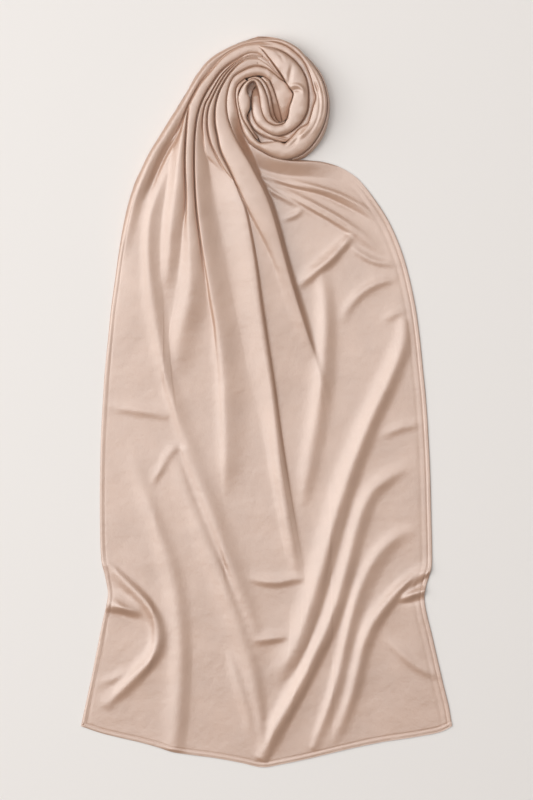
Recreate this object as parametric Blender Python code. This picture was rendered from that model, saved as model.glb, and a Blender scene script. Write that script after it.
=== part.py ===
"""A jersey hijab, 700 x 1800 mm, laid out flat with its upper end gathered and wound into a rosette.

Metres, +Z up. The cloth lies on z = 0, the origin is the middle of its plan, and +Y points to the rosette.
Plan places are in plan units of 1.8 mm, x to the right and y down. Heights and widths are in millimetres.
"""

import math
from collections import namedtuple

import bmesh
import bpy
import numpy as np
from mathutils import Vector
from mathutils.geometry import delaunay_2d_cdt

# Driving sizes
UNIT = 0.0018  # one plan unit in metres: the 371 units across the hem are 0.668 m
MIDDLE_X, MIDDLE_Y = 266.5, 402.0  # the plan's middle, in plan units
MM = 0.001
CLOTH = 1.6  # the wall: two plies' worth of jersey and its loft
STEEP_CLOTH = 3.0  # the most that the wall grows, straight down, on a fold's steep side
SEAM_GAP = 0.3  # each stretch stands back this far from the crease that it shares
FOLD_MERGE = 4.0  # how sharply neighbouring folds meet: the power of the norm that joins them
LEAST_HEIGHT = 0.6  # no wound stretch's side drops lower than this

# The cloth's colour
BEIGE = (0.70, 0.545, 0.455, 1.0)

# The outline of the laid cloth, from the rosette's top down each side, and along the hem
LEFT_EDGE = [
    (262, 37.4), (240, 43.3), (222, 51.5), (209, 60), (199, 72), (190, 87), (181, 103), (170, 119),
    (160, 136), (150, 152), (139, 175), (131, 195), (125, 218), (120, 245), (115, 280), (111, 310),
    (108, 340), (105, 370), (103, 400), (101, 440), (100, 500), (101, 555), (105, 575), (108, 592),
    (107, 603), (103, 620), (98, 645), (91, 680), (81, 726),
]
HEM_EDGE = [
    (81, 726), (100, 732.5), (120, 737.5), (140, 742), (158, 747), (172, 751.5), (188, 754),
    (215, 757.5), (240, 762), (262, 766.6), (282, 763.5), (310, 757.5), (345, 749), (380, 741.5),
    (415, 736), (440, 731), (452, 725),
]
RIGHT_EDGE = [
    (300, 160.8), (320, 161.5), (338, 166.5), (350, 173), (358, 179), (366, 188), (375, 200),
    (385, 215), (393, 230), (400, 247), (406, 265), (411, 285), (416, 310), (420, 340), (423, 370),
    (426, 400), (428, 430), (430, 470), (431.3, 520), (432, 560), (429.5, 575), (425.5, 588),
    (424.5, 600), (427, 615), (432, 635), (437, 657), (443, 683), (448.5, 705), (452, 725),
]

# Creases that neighbouring folds and stretches share, each from its upper or outer end
CREASE_ROLL = [  # between the rolled left edge and the pleats
    (258.2, 44.6), (248, 45.4), (238, 48.6), (227, 55), (217, 64.5), (208, 75), (200, 84.5),
    (193, 97), (188, 107), (178, 130), (168, 146), (160, 160), (148, 185), (141, 203), (135, 228),
    (128, 262),
]
CREASE_PLEAT_1 = [(188.5, 108), (185.5, 115), (182, 126), (178, 140), (174, 155), (170, 172), (167, 190),
                  (164, 215), (161, 245), (160, 270), (162, 290)]
CREASE_PLEAT_2 = [(188.8, 109), (187.3, 120), (186.2, 133), (185.4, 147), (185, 160), (185.3, 175),
                  (186, 190), (186, 203), (184.8, 222), (182.5, 245), (179, 275), (174, 307), (169, 338),
                  (172, 378)]
CREASE_PLEAT_3 = [  # the deep crease
    (258.2, 54.6), (250, 54.2), (243, 57), (235, 61.5), (226, 67.5), (219, 74.5), (213, 83),
    (206, 94), (200.5, 106), (197, 119), (195.2, 133), (194.5, 147), (194.3, 163), (194.6, 180),
    (195.5, 198), (197.5, 220), (202.3, 255), (208.2, 292), (213.8, 328), (218, 370), (220.5, 415),
    (221, 455), (222, 497),
]
CREASE_PLEAT_4 = [
    (258.2, 56), (250, 55.8), (243, 58.7), (237, 62.5), (230, 68), (222, 76), (215, 87), (209.5, 97.5),
    (205.5, 105), (203.3, 115), (202.5, 126), (203.5, 140), (206, 155), (208, 175), (210, 198),
    (215, 222), (222, 257), (231, 294), (240, 332), (249, 372), (257, 405), (264, 440), (270, 478),
    (277, 515), (284, 550), (291, 582),
]
CREASE_PLEAT_5 = [
    (258.2, 57.8), (250, 57.6), (243, 60.3), (237, 64.5), (231, 69.5), (225, 76.5), (218, 88),
    (212.3, 99.5), (209, 108), (207.4, 118), (207.7, 130), (210.5, 143), (215, 153.5), (220, 163),
    (225, 171.5), (232, 180),
]
CREASE_BAND = [
    (258.2, 59.6), (250, 59.5), (243, 62), (237, 66.5), (231, 73), (226, 80), (220, 91),
    (216.5, 101), (214.8, 112), (215, 125), (217.2, 137), (219.8, 150), (224, 160), (230, 172),
    (236, 185), (242, 198.5), (247, 212), (253, 240), (258, 270), (262, 300), (268, 340), (274.5, 382),
    (280, 422), (286, 464), (293, 508), (300, 548), (306, 582),
]
CREASE_INNER_TURN = [  # between the pleats and the inner turn, then the panel's long right crease
    (284.4, 84.4), (279.5, 79.6), (274.5, 75), (270, 71.7), (266, 69.3), (258.2, 67.5), (252, 68.3),
    (244, 71.5), (234, 78), (229, 89), (226.8, 103), (228, 117), (231, 126.5), (235.5, 137),
    (242, 149), (250, 162), (257, 175), (264, 188), (270.4, 203), (278, 227), (284.5, 251), (291, 275),
    (298.5, 300), (306.5, 326), (316, 356),
]
CREASE_OUTER = [  # the wide turn's outer side
    (258.4, 37.6), (268, 37.7), (279, 39.6), (289, 43.4), (298.5, 49.3), (306, 57.5), (313, 66),
    (319, 74.8), (323.8, 85.5), (326.5, 97), (327, 108), (325.6, 118.5), (321.8, 129.5), (316.5, 139),
    (309, 148.5), (300.5, 155), (291, 158.9), (281, 159.2), (272, 156.4), (263, 151.8), (254.5, 146.8),
    (248.5, 141.6), (243.5, 133), (240.3, 123), (238.2, 114), (236, 102.5), (235.6, 92.5), (238, 85.6),
    (244.6, 80),
]
CREASE_INNER = [  # the wide turn's inner side
    (258.4, 42.4), (267, 42.4), (276.5, 43.6), (286, 47), (295, 53.3), (302.5, 61), (308, 71),
    (311.5, 80.5), (314, 91), (316, 98.5), (312.9, 109), (310.5, 118), (307.5, 125), (300, 129),
    (293.5, 136), (288, 141.6), (284.3, 144.3), (278, 142.2), (269, 143), (261, 143.6), (256.2, 140.6),
    (252.2, 135), (247.6, 128), (243, 120), (239.6, 109.5), (238.2, 99), (239.5, 91.5), (243, 85.5),
    (247, 82),
]
CREASE_NARROW = [  # the narrow turn's outer side once it leaves the wide turn
    (285.5, 142.6), (278, 141.7), (270.5, 139.1), (262.5, 135.8), (254.8, 130.7), (249.6, 123.2),
    (247.6, 115.5),
]
CREASE_FLAP = [  # the flap's outer side
    (258.4, 46.4), (268, 47.9), (278, 51), (286.5, 55.6), (293.5, 61.3), (299.5, 68), (304, 75.5),
    (306.8, 84), (308, 93), (308, 101.5), (307.5, 109.5), (305.3, 116), (301.5, 122.5), (296, 128.4),
    (289.5, 132.9), (283.5, 135.5), (277, 136.6), (270, 134.6), (262.7, 129.9), (256.5, 124),
    (253, 116.5), (252, 109.5), (251.5, 103), (251.9, 97), (252.8, 91.5), (254.8, 88.3),
]
FLAP_EDGE = [  # the flap's folded edge, which crosses the pleats and then lines the heart
    (258.6, 47.4), (264, 52.8), (268.5, 58.3), (273, 64), (277.5, 70), (281.8, 76), (285, 81.5),
    (288.5, 87.3), (293.4, 94), (292, 101.5), (289.8, 107.5), (289, 113), (288, 118), (285.8, 122.5),
    (283, 125), (279.5, 126), (275.5, 126.4), (271, 125.2), (267, 122.5), (263.6, 117.5), (261.6, 112),
    (260.7, 107), (260.1, 102.5), (259.3, 97), (258.2, 91.5), (256.8, 87),
]
CREASE_LOOP = [  # the outer side of the heart's hairpin loop
    (256.2, 140.6), (252.2, 135), (247.6, 128), (243, 120), (239.6, 109.5), (238.2, 99), (240.4, 91.5),
    (243.5, 86.2), (247.5, 82.2), (252, 80), (256.5, 80.7), (260.3, 84), (263.6, 89.5), (266.2, 96),
    (268, 103), (269.2, 110), (270.7, 116.5), (273.6, 121), (277.5, 123.4), (281.5, 123.6),
    (285.2, 121.5),
]
CREASE_HEART_1 = [(247.8, 79.5), (252, 78.2), (257, 77.6), (261.8, 80), (266, 85.2), (268.9, 91.5),
                  (270.8, 98.5), (272, 105), (273, 111), (274.4, 116.2), (276.6, 120.4), (279, 122.4)]
CREASE_HEART_2 = [(257.8, 76.6), (264, 77.8), (268.2, 80.4), (269.8, 82.8), (271.2, 85.8), (273.6, 91.4),
                  (275.8, 98), (277.8, 104.4), (279.5, 110.5), (280.9, 115.8), (281.8, 119.5),
                  (282.2, 122.6)]

# A fold that shows both its feet. Evenly spaced along it are given: how far its crest lies from the
# lit foot (0) to the shaded one (1), the powers of its two sides (under 1 stands up steeply, 1.5 or
# more runs out softly), and its heights over the cloth that it lies on.
Ridge = namedtuple("Ridge", "name crest lit_power shade_power heights lit_foot shade_foot")
RIDGES = [
    Ridge("edge_roll", (0.4, 0.3, 0.2, 0.2, 0.25, 0.4, 0.45, 0.45), (0.4, 0.4, 0.4, 0.5, 0.6),
          (0.6, 1.0, 1.2, 1.4, 1.6), (7, 8, 9, 9, 9, 9, 9, 8, 6, 3, 0),
          [(258.2, 37.5), (240, 43.3), (222, 51.5), (207, 62), (197, 76), (181, 103), (163, 131),
           (145, 161), (131, 195), (123, 228), (117, 262)],
          CREASE_ROLL),
    Ridge("pleat_1", (0.4, 0.5, 0.5, 0.4, 0.45, 0.5), (0.4, 1.4, 1.8, 1.8),
          (0.35, 0.4, 0.45, 0.8, 1.3, 1.6), (6, 9, 11, 11, 11, 11, 10, 9, 8, 6, 5, 3, 0),
          CREASE_PLEAT_1,
          CREASE_PLEAT_2[:8] + [(184, 225), (181, 250), (178, 270), (176, 290)]),
    Ridge("pleat_2", (0.42, 0.42, 0.35, 0.25, 0.2, 0.4, 0.45, 0.4, 0.35),
          (0.3, 0.3, 0.3, 0.3, 0.35, 1.3, 1.8, 1.8, 1.8),
          (0.35, 0.35, 0.35, 0.35, 0.35, 0.5, 1.2, 1.6, 1.6),
          (7, 8, 10, 11, 11, 11, 11, 11, 11, 10, 9, 8, 7, 5, 4, 0),
          CREASE_ROLL[:9] + CREASE_PLEAT_2,
          CREASE_PLEAT_3[:15] + [(197.5, 220), (201.5, 245), (205.5, 275), (206, 302), (201, 328),
                                 (194, 352), (189, 382)]),
    Ridge("pleat_3", (0.25, 0.15, 0.12, 0.12, 0.15, 0.25, 0.3, 0.35),
          (0.3, 0.3, 0.3, 0.3, 0.5, 1.6, 2.2, 2.2), (0.5, 1.4, 1.6, 1.6),
          (0, 6, 9, 10, 11, 10.5, 9.5, 8.5, 7.5, 7, 6.5, 6, 4.5, 0),
          CREASE_PLEAT_3[6:19] + [(216, 370), (216, 415), (217, 455), (220, 497)],
          [(216, 85.5), (209.5, 97.5), (205.5, 105), (203.3, 115), (202.5, 126), (203.5, 140),
           (206, 155), (209, 175), (213, 198), (218, 222), (226, 257), (233, 294), (239, 330),
           (245, 370), (247, 415), (245, 455), (239, 497)]),
    Ridge("pleat_4", (0.35, 0.3, 0.3, 0.35), (0.25, 0.25, 0.3, 0.4), (0.35, 0.35, 0.4, 0.5),
          (8, 9, 10, 10, 10, 10, 8, 6, 4, 2, 0),
          CREASE_PLEAT_4[:13] + [(213, 163), (222, 172), (232, 182)],
          CREASE_PLEAT_5),
    Ridge("pleat_5", (0.35, 0.3, 0.25, 0.3), (0.25, 0.25, 0.3, 0.3), (0.35, 0.35, 0.4, 0.5),
          (8, 9, 10, 10, 11, 11, 11, 10, 8, 6, 3),
          CREASE_PLEAT_5,
          CREASE_BAND[:14] + [(234, 181)]),
    Ridge("centre_fold", (0.95, 0.93, 0.9, 0.84, 0.78, 0.6, 0.5, 0.5), (2.2,),
          (0.5, 0.5, 0.5, 0.6, 1.0, 1.4), (0, 7.5, 8.5, 9.5, 9.5, 9, 9, 8.5, 8, 7, 5, 0),
          [(207, 150)] + CREASE_PLEAT_4[14:],
          [(229, 170)] + CREASE_BAND[14:]),
    Ridge("diagonal_band", (0.35, 0.35, 0.35, 0.4, 0.55, 0.75, 0.85, 0.85),
          (0.22, 0.22, 0.22, 0.3, 0.5, 1.2, 1.5), (0.2,),
          (8, 9, 10, 10, 10, 9, 9, 9, 8.5, 8.5, 8, 8, 7.5, 7, 6, 5.5, 5, 3.5, 1),
          CREASE_BAND[:15] + [(239, 190.5), (246, 206), (256, 226), (267, 248), (276, 270),
                              (285, 296), (295, 324), (308, 355)],
          CREASE_INNER_TURN[5:]),
    Ridge("shoulder_roll", (0.92,), (1.3,), (0.5,), (10, 11, 12, 12, 12, 11, 9, 6, 3, 0),
          [(239, 143), (245, 155), (252, 163), (266, 171), (290, 176), (318, 178), (342, 181)],
          [(247, 140), (253.5, 146), (262, 151), (273, 156.6), (292, 160.3), (318, 161.4),
           (338, 166.5)]),
    Ridge("shoulder_fold_1", (0.72,), (1.5,), (1.5,), (0, 2.5, 3.4, 3.8, 4.2, 4.2, 3.4),
          [(381, 216), (366, 199), (346, 186), (321, 178), (296, 175), (272, 172), (253, 167)],
          [(380, 229), (366, 217), (347, 205.5), (324, 196.5), (299, 190.5), (274, 183.5),
           (257, 175)]),
    Ridge("shoulder_fold_2", (0.72,), (1.5,), (1.5,), (0, 3, 3.8, 4.2, 4.7, 4.7, 3.4),
          [(384, 243), (368, 227), (348, 213), (325, 201.5), (299, 192.5), (274, 184.5), (257, 175)],
          [(386, 257), (368, 247), (345, 232.5), (321, 219), (298, 207), (276, 196.5), (264, 188)]),
    Ridge("left_fold", (0.36,), (2.2,), (1.7,), (0, 3, 5.1, 6.4, 6.8, 6.8, 6.4, 6, 5.1, 4.2, 2.1),
          [(171, 160), (156, 186), (145, 212), (141, 240), (142, 275), (146, 312), (152, 347),
           (159, 380), (168, 412), (178, 442), (190, 472)],
          [(178, 162), (168, 192), (162, 218), (160, 245), (161, 280), (166, 315), (172, 350),
           (179, 381), (189, 412), (201, 445), (214, 480)]),
    Ridge("left_fold_lower", (0.22,), (0.5,), (1.8,), (3, 5.1, 6.8, 7.2, 7.2, 6.8, 5.5, 4.2, 0),
          [(180, 450), (192, 478), (203, 508), (212, 532), (221, 555), (231, 580), (241, 605),
           (251, 634), (259, 665)],
          [(198, 440), (210, 468), (222, 497), (234, 525), (244, 553), (252, 581), (258, 608),
           (263, 636), (266, 667)]),
    Ridge("left_valley_fold", (0.66,), (2.2,), (0.6,), (0, 2.5, 4.2, 5.1, 5.5, 6, 6, 6, 5.5, 4.7, 2.5),
          [(160, 458), (170, 493), (183, 525), (195, 555), (206, 585), (217, 614), (228, 644),
           (238, 676), (247, 707), (253, 732), (256, 757)],
          [(176, 452), (189, 483), (201, 511), (211, 535), (220, 558), (230, 583), (240, 608),
           (250, 638), (259, 672), (264, 706), (266, 750)]),
    Ridge("left_hem_fold", (0.55,), (2.2,), (1.6,), (0, 2.5, 4.7, 6, 6.4, 6.4, 6, 5.1, 3.8),
          [(117, 448), (128, 485), (142, 525), (154, 560), (162, 592), (166, 625), (167, 662),
           (165, 702), (162, 746)],
          [(141, 448), (155, 490), (169, 530), (180, 566), (187, 602), (190, 640), (190, 678),
           (188, 715), (184, 752)]),
    Ridge("middle_right_fold", (0.5,), (2.2,), (1.3, 1.3, 1.5), (0, 4.2, 6.4, 6.8, 6.8, 6, 5.5, 5.1, 4.2, 0),
          [(312, 262), (314, 285), (315, 320), (313, 350), (310, 380), (306, 412), (301, 442),
           (297, 472), (297, 504)],
          [(325, 262), (332, 285), (335, 320), (335, 350), (333, 382), (328, 417), (322, 450),
           (314, 485), (304, 513)]),
    Ridge("right_fold", (0.63,), (2.3,), (1.5, 1.3, 0.9, 0.9),
          (2.5, 6.8, 8.1, 8.5, 8.5, 8.5, 8.5, 8.5, 8.1, 8.1, 7.6, 6.8, 5.1, 0),
          [(397, 320), (389, 345), (378, 370), (366, 395), (354, 420), (344, 443), (333, 472),
           (322, 505), (311, 540), (301, 575), (292, 605), (282, 632), (272, 655), (262, 677)],
          [(408, 318), (410, 345), (402, 372), (391, 397), (380, 421), (371, 444), (361, 470),
           (352, 497), (343, 528), (334, 562), (324, 598), (312, 635), (298, 664), (279, 687)]),
    Ridge("right_hem_fold", (0.57,), (2.3,), (1.5, 1.2, 0.9, 0.9),
          (0, 4.2, 5.5, 6, 6.8, 7.2, 7.6, 8.1, 8.5, 8.5, 8.5, 8.1, 7.2, 3.4),
          [(411, 458), (388, 466), (367, 480), (353, 501), (345, 526), (338, 553), (331, 580),
           (322, 607), (311, 634), (299, 661), (286, 686), (273, 709), (262, 731), (253, 756)],
          [(413, 471), (394, 483), (378, 498), (369, 519), (361, 546), (353, 575), (345, 603),
           (335, 631), (323, 656), (311, 681), (297, 707), (284, 730), (275, 747), (266, 763)]),
    Ridge("right_hem_fold_2", (0.4,), (2.2,), (1.6,), (0, 3.8, 4.7, 5.1, 6, 6.4, 6.4, 6, 5.1, 3.8, 1.7),
          [(419, 523), (398, 527), (381, 538), (366, 556), (355, 578), (347, 602), (341, 629),
           (335, 657), (327, 690), (318, 720), (309, 748)],
          [(419, 537), (402, 546), (389, 560), (377, 580), (367, 603), (358, 630), (352, 656),
           (346, 681), (338, 705), (328, 728), (318, 748)]),
    Ridge("right_hem_fold_3", (0.6,), (2.2,), (0.9, 1.3, 1.5), (4.7, 6.4, 6.8, 6.8, 6.8, 6.4, 6, 5.1, 3.4, 0),
          [(430, 556), (411, 569), (393, 584), (376, 601), (362, 620), (353, 643), (347, 668),
           (341, 695), (333, 721), (327, 742)],
          [(421, 580), (405, 592), (392, 607), (380, 625), (371, 645), (365, 668), (360, 690),
           (352, 713), (343, 734), (334, 746)]),
]

# A shorter fold or wrinkle, by its crest. Its lit side is on the right hand of one who walks its path.
Wrinkle = namedtuple("Wrinkle", "name height lit_width shade_width path")
WRINKLES = [
    Wrinkle("left_loop", 11, 20, 12, [(108, 564), (128, 583), (147, 603), (157, 621), (159, 641),
                                      (152, 659), (138, 675), (122, 691), (108, 704)]),
    Wrinkle("left_notch", 7, 30, 9, [(141, 613), (128, 609), (114, 605), (102, 603)]),
    Wrinkle("left_cross_wrinkle", 3.5, 18, 10, [(172, 417), (150, 413), (130, 410), (110, 407)]),
    Wrinkle("left_short_fold", 6, 16, 9, [(178, 445), (168, 457), (160, 470), (152, 483)]),
    Wrinkle("left_corner_wrinkle", 3, 10, 8, [(128, 671), (113, 679), (101, 683)]),
    Wrinkle("hem_middle_fold", 5, 12, 13, [(230, 655), (239, 686), (247, 712), (255, 742)]),
    Wrinkle("centre_wrinkle_1", 4, 20, 8, [(307, 579), (294, 580), (278, 583), (262, 582), (246, 577)]),
    Wrinkle("centre_wrinkle_2", 5, 20, 8, [(290, 638), (273, 639), (259, 641), (250, 635)]),
    Wrinkle("centre_wrinkle_3", 5, 14, 8, [(282, 712), (272, 727), (260, 726)]),
    Wrinkle("right_cross_fold", 7, 22, 10, [(353, 238), (344, 246), (334, 256), (322, 267), (308, 279),
                                            (297, 287)]),
    Wrinkle("right_wrinkle_1", 3, 12, 10, [(394, 264), (376, 262), (360, 254), (349, 244)]),
    Wrinkle("right_wrinkle_2", 4.5, 14, 10, [(394, 279), (377, 284), (362, 293), (350, 306), (343, 320)]),
    Wrinkle("right_wrinkle_3", 3, 9, 7, [(405, 311), (393, 315), (384, 320)]),
    Wrinkle("right_notch", 8, 16, 8, [(432, 590), (416, 594), (400, 600)]),
    Wrinkle("right_corner_wrinkle", 3.5, 16, 9, [(440, 677), (421, 670), (404, 657), (387, 640)]),
    Wrinkle("right_cross_wrinkle", 3, 14, 9, [(420, 424), (401, 428), (382, 436)]),
    Wrinkle("neck_wrinkle", 3, 9, 9, [(303, 207), (295, 215), (284, 219)]),
]

# A wound stretch: matching places on its outer and inner side, its height at each, how far its two
# sides drop below the crest, where the crest lies from outer (0) to inner (1), and its roundness.
Band = namedtuple("Band", "name outer inner heights outer_drop inner_drop crest power")
BANDS = [
    Band("turn_outer",
         [(307, 57), (314, 64.5), (321, 73.5), (326, 85), (329, 97), (329.6, 108), (328.6, 119),
          (326, 130.5), (321, 141), (313.5, 150.5), (304.5, 158.5)],
         CREASE_OUTER[5:16],
         (20, 22, 23, 24, 25, 25, 24, 23, 21, 19, 15), 17, 6, 0.6, 0.5),
    Band("turn_wide", CREASE_OUTER, CREASE_INNER,
         (26, 28, 29, 30, 30, 30, 31, 32, 33, 34, 35, 35, 34, 33, 33, 33, 33, 33, 33, 32, 32, 32, 32,
          32, 32, 32, 31, 30, 29), 11, 6, 0.66, 0.55),
    Band("turn_narrow", CREASE_INNER[:15] + CREASE_NARROW, CREASE_FLAP[:22],
         (24, 26, 27, 27, 27, 27, 27, 27, 26, 25, 24, 24, 24, 24, 24, 24, 25, 27, 27, 26, 24, 21),
         5, 6, 0.5, 0.6),
    Band("flap", CREASE_FLAP, FLAP_EDGE,
         (33, 34, 35, 36, 37, 37, 37, 37, 37, 37, 36, 36, 35, 35, 34, 34, 34, 34, 33, 33, 32, 31, 29,
          26, 20, 13), 9, 5, 0.55, 0.55),
    Band("pleat_ends",
         [(258.6, 48), (264, 53.3), (268.5, 58.6), (273, 64.2), (277.5, 70.2), (281.6, 76.2),
          (284.2, 80.6)],
         [(258.4, 67.5), (262, 68), (266, 69.3), (270, 71.7), (274.5, 75), (279, 79), (283.6, 81.9)],
         (29, 30, 30, 30, 29, 27, 24), 16, 6, 0.62, 0.7),
    Band("turn_inner",
         CREASE_INNER_TURN[14:4:-1] + [(266, 69.3), (270, 71.7), (274.5, 75), (279.5, 79.6), (285.6, 83.8),
                                       (289.5, 89.4), (292.7, 94.8), (291.4, 101.3), (289.5, 107.3),
                                       (288.5, 113), (286.8, 119)],
         CREASE_OUTER[21:] + [(251, 77.8)] + CREASE_HEART_2,
         (31, 32, 32, 31, 31, 31, 30, 30, 30, 30, 29, 29, 28, 28, 27, 26, 25, 23, 20, 16, 12),
         4, 11, 0.4, 0.7),
    Band("heart_loop", CREASE_LOOP,
         [(258, 138.6), (254, 132.5), (249.6, 124.5), (246.8, 117.4), (249.8, 109.5), (249.9, 99.5),
          (247.4, 94), (247, 89), (248.8, 85.3), (251.8, 82.9), (254.8, 83.2), (256.8, 87),
          (258.2, 91.5), (259.3, 97), (260.1, 102.5), (261, 109), (263, 116), (266.5, 121.9),
          (271, 125.2), (277, 126.3), (283.6, 124.6)],
         (24, 28, 31, 33, 35, 36, 37, 37, 37, 37, 37, 37, 36, 36, 35, 34, 33, 32, 31, 31, 30),
         7, 7, 0.5, 0.55),
    Band("heart_hollow",
         [(249.9, 108.2), (249.9, 99.5), (247.4, 94), (247, 89), (248.8, 85.3), (251.8, 82.9),
          (254.8, 83.2)],
         [(251.8, 107.6), (251.5, 103), (251.7, 97), (252.6, 91.6), (254.4, 88.2), (255.8, 87),
          (256.8, 86.6)],
         (14, 12, 11, 12, 14, 16, 18), 2, 2, 0.5, 1),
    Band("heart_fold_1",
         CREASE_HEART_1, [(248.4, 81.8), (252, 80), (256.5, 80.7), (260.3, 84), (263.6, 89.5), (266.2, 96),
                          (268, 103), (269, 109), (270.2, 114.4), (272, 118.8), (274.6, 121.8),
                          (277.5, 123.4)],
         (26, 27, 28, 30, 31, 31, 30, 28, 24, 19, 16, 14), 6, 6, 0.5, 0.6),
    Band("heart_fold_2",
         CREASE_HEART_2[1:], [(260.6, 78.9), (263, 80.9), (264.8, 83), (266.4, 85.4), (268.9, 91.5),
                              (270.8, 98.5), (272, 105), (273, 111), (274.4, 116.2), (276.6, 120.4),
                              (279, 122.4)],
         (27, 29, 31, 30, 28, 25, 22, 17, 12, 8, 6), 6, 7, 0.45, 0.6),
    Band("tuck",
         [(246.9, 117.4), (249.6, 124.5), (254, 132.5), (258, 138.6), (261.5, 143.5), (269, 143),
          (277, 142.4)],
         [(247.9, 117), (250, 123.6), (254.9, 130.8), (259.5, 134), (264.5, 136.6), (270.5, 139.3),
          (277.4, 142)],
         (20, 19, 17, 15, 14, 15, 18), 3, 3, 0.5, 0.7),
]

ACROSS = (0.0, 0.04, 0.2, 0.45, 0.7, 0.9, 1.0)  # places across a wound stretch
SECTIONS = 2  # sections of a wound stretch, and rows of the gathers, for each of their places
OUTLINE_STEP = 18.0  # millimetres between points along an outline
CREST_STEP = 21.0  # and along a fold
FILL_STEP = 60.0  # and over flat cloth
NEAREST = 4.2  # the least distance between two of these points
TRACED_HEIGHT = 3.0  # a wrinkle this high has its crest and feet drawn into the mesh
SHARP_SIDE = 0.8  # a side of this power or less has its shoulder drawn in as well
SHOULDER = 0.12  # which is this share of the way from foot to crest
WRINKLE_FOOT = 0.8  # a wrinkle's feet are drawn at this share of its width
WRINKLE_POWER = 1.6  # a wrinkle's sides run out softly
WRINKLE_END = 0.6  # and its crest falls to nothing at both ends, by this power of a sine

# The gathers' outer side, matched place for place with the crease on their inner side, and where
# each stretch between two creases has its columns
GATHER_SIDE = [
    (258, 37.5), (247, 41), (236, 44.8), (215, 56), (199, 72), (186, 94), (175.5, 111), (166, 126),
    (157.5, 140), (149, 154), (142, 168.5), (136.5, 180), (133.4, 188), (130.3, 198),
]
GATHER_CREASE = CREASE_INNER_TURN[5:19]
LEAST_COLUMN = 0.5  # where creases run together their columns stay this far apart
Pleat = namedtuple("Pleat", "crease columns")
PLEATS = [
    Pleat(None, (0.06, 0.25, 0.5, 0.8)),
    Pleat(CREASE_ROLL, (0.5,)),
    Pleat(CREASE_PLEAT_1, (0.12, 0.5, 0.88)),
    Pleat(CREASE_PLEAT_2, (0.1, 0.4, 0.7, 0.93)),
    Pleat(CREASE_PLEAT_3, (0.1, 0.42, 0.8)),
    Pleat(CREASE_PLEAT_4, (0.12, 0.5, 0.88)),
    Pleat(CREASE_PLEAT_5, (0.12, 0.5, 0.88)),
    Pleat(CREASE_BAND, (0.08, 0.35, 0.65, 0.92)),
]

# Where the panel meets the other stretches: at the inner turn's foot, and under the rosette
INNER_CUT = [(242.4, 149.5), (248.7, 142)]
SHOULDER_LINE = [
    (248.7, 142), (254.5, 147.2), (263, 152), (272, 156.4), (281, 159.8), (291, 160.6), (300, 160.8),
]


def place(points):
    """Plan units to metres in the part's frame."""
    points = np.asarray(points, float)
    return np.stack([(points[..., 0] - MIDDLE_X) * UNIT, (MIDDLE_Y - points[..., 1]) * UNIT], -1)


def spline(points, at):
    """A smooth curve through the points, read at places counted in points from the first."""
    points = np.asarray(points, float)
    ends = np.vstack([2 * points[0] - points[1], points, 2 * points[-1] - points[-2]])
    at = np.clip(np.asarray(at, float), 0, len(points) - 1)
    i = np.minimum(at.astype(int), len(points) - 2)
    t = (at - i)[:, None]
    a, b, c, d = (ends[i + k] for k in range(4))
    return 0.5 * (2 * b + (c - a) * t + (2 * a - 5 * b + 4 * c - d) * t**2 + (3 * b - a - 3 * c + d) * t**3)


def even(points, step):
    """A smooth curve through plan points as evenly spaced points in metres, step millimetres apart."""
    fine = place(spline(points, np.linspace(0, len(points) - 1, 24 * len(points))))
    run = np.concatenate([[0], np.cumsum(np.linalg.norm(np.diff(fine, axis=0), axis=1))])
    count = max(3, int(round(run[-1] / (step * MM))) + 1)
    at = np.linspace(0, run[-1], count)
    return np.stack([np.interp(at, run, fine[:, k]) for k in (0, 1)], -1)


def smooth(t):
    """0 to 1 with no corner at either end."""
    t = np.clip(t, 0, 1)
    return t * t * (3 - 2 * t)


def nearest(points, line):
    """For each point: its distance to the line, the side it is on, the share along, and whether it lies
    past an end."""
    a, d = line[:-1], np.diff(line, axis=0)
    length = np.linalg.norm(d, axis=1)
    run = np.concatenate([[0], np.cumsum(length)])
    rel = points[:, None, :] - a[None]
    t = (rel * d).sum(-1) / length**2
    clipped = np.clip(t, 0, 1)
    away = rel - clipped[..., None] * d
    dist = np.sqrt((away**2).sum(-1))
    j = dist.argmin(1)
    pick = np.arange(len(points)), j
    side = np.sign(d[j, 0] * rel[pick][:, 1] - d[j, 1] * rel[pick][:, 0])
    along = (run[j] + clipped[pick] * length[j]) / run[-1]
    past = ((j == 0) & (t[pick] < 0)) | ((j == len(d) - 1) & (t[pick] > 1))
    return dist[pick], side, along, past


def near_box(points, lines, margin):
    """Which points lie within margin of the lines' box."""
    corners = np.vstack(lines)
    low, high = corners.min(0) - margin, corners.max(0) + margin
    return np.where(((points >= low) & (points <= high)).all(1))[0]


CREST_ROUND = 0.16  # how much of a soft side its rounded crest takes up


def side_form(t, power):
    """A fold's side: 1 at its crest, where t is 0, and 0 at its foot, where t is 1.

    A power well under 1 gives a roll, which stands up steeply from its foot; one well over 1 gives a
    soft side, which steepens towards a narrow crest.
    """
    t = np.clip(t, 0, 1)
    soft = (np.hypot(t, CREST_ROUND) - CREST_ROUND) / (math.hypot(1, CREST_ROUND) - CREST_ROUND)
    rolled = 1 - softness(power)
    return rolled * (1 - t**2) ** np.minimum(power, 1) + (1 - rolled) * (1 - soft) ** np.maximum(power, 1)


def softness(power):
    """0 where a side of this power is a roll, 1 where it is soft."""
    return np.clip((power - 0.7) / 0.6, 0, 1)


SOFT_SPREAD = 5.0  # a soft side runs out this far past its foot, in millimetres
ROLL_EDGE = 0.2  # and a roll's stands this far outside it


def along_fold(along, values):
    """What evenly spaced values come to at these shares of a fold's run."""
    return np.interp(along, np.linspace(0, 1, len(values)), values)


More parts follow.
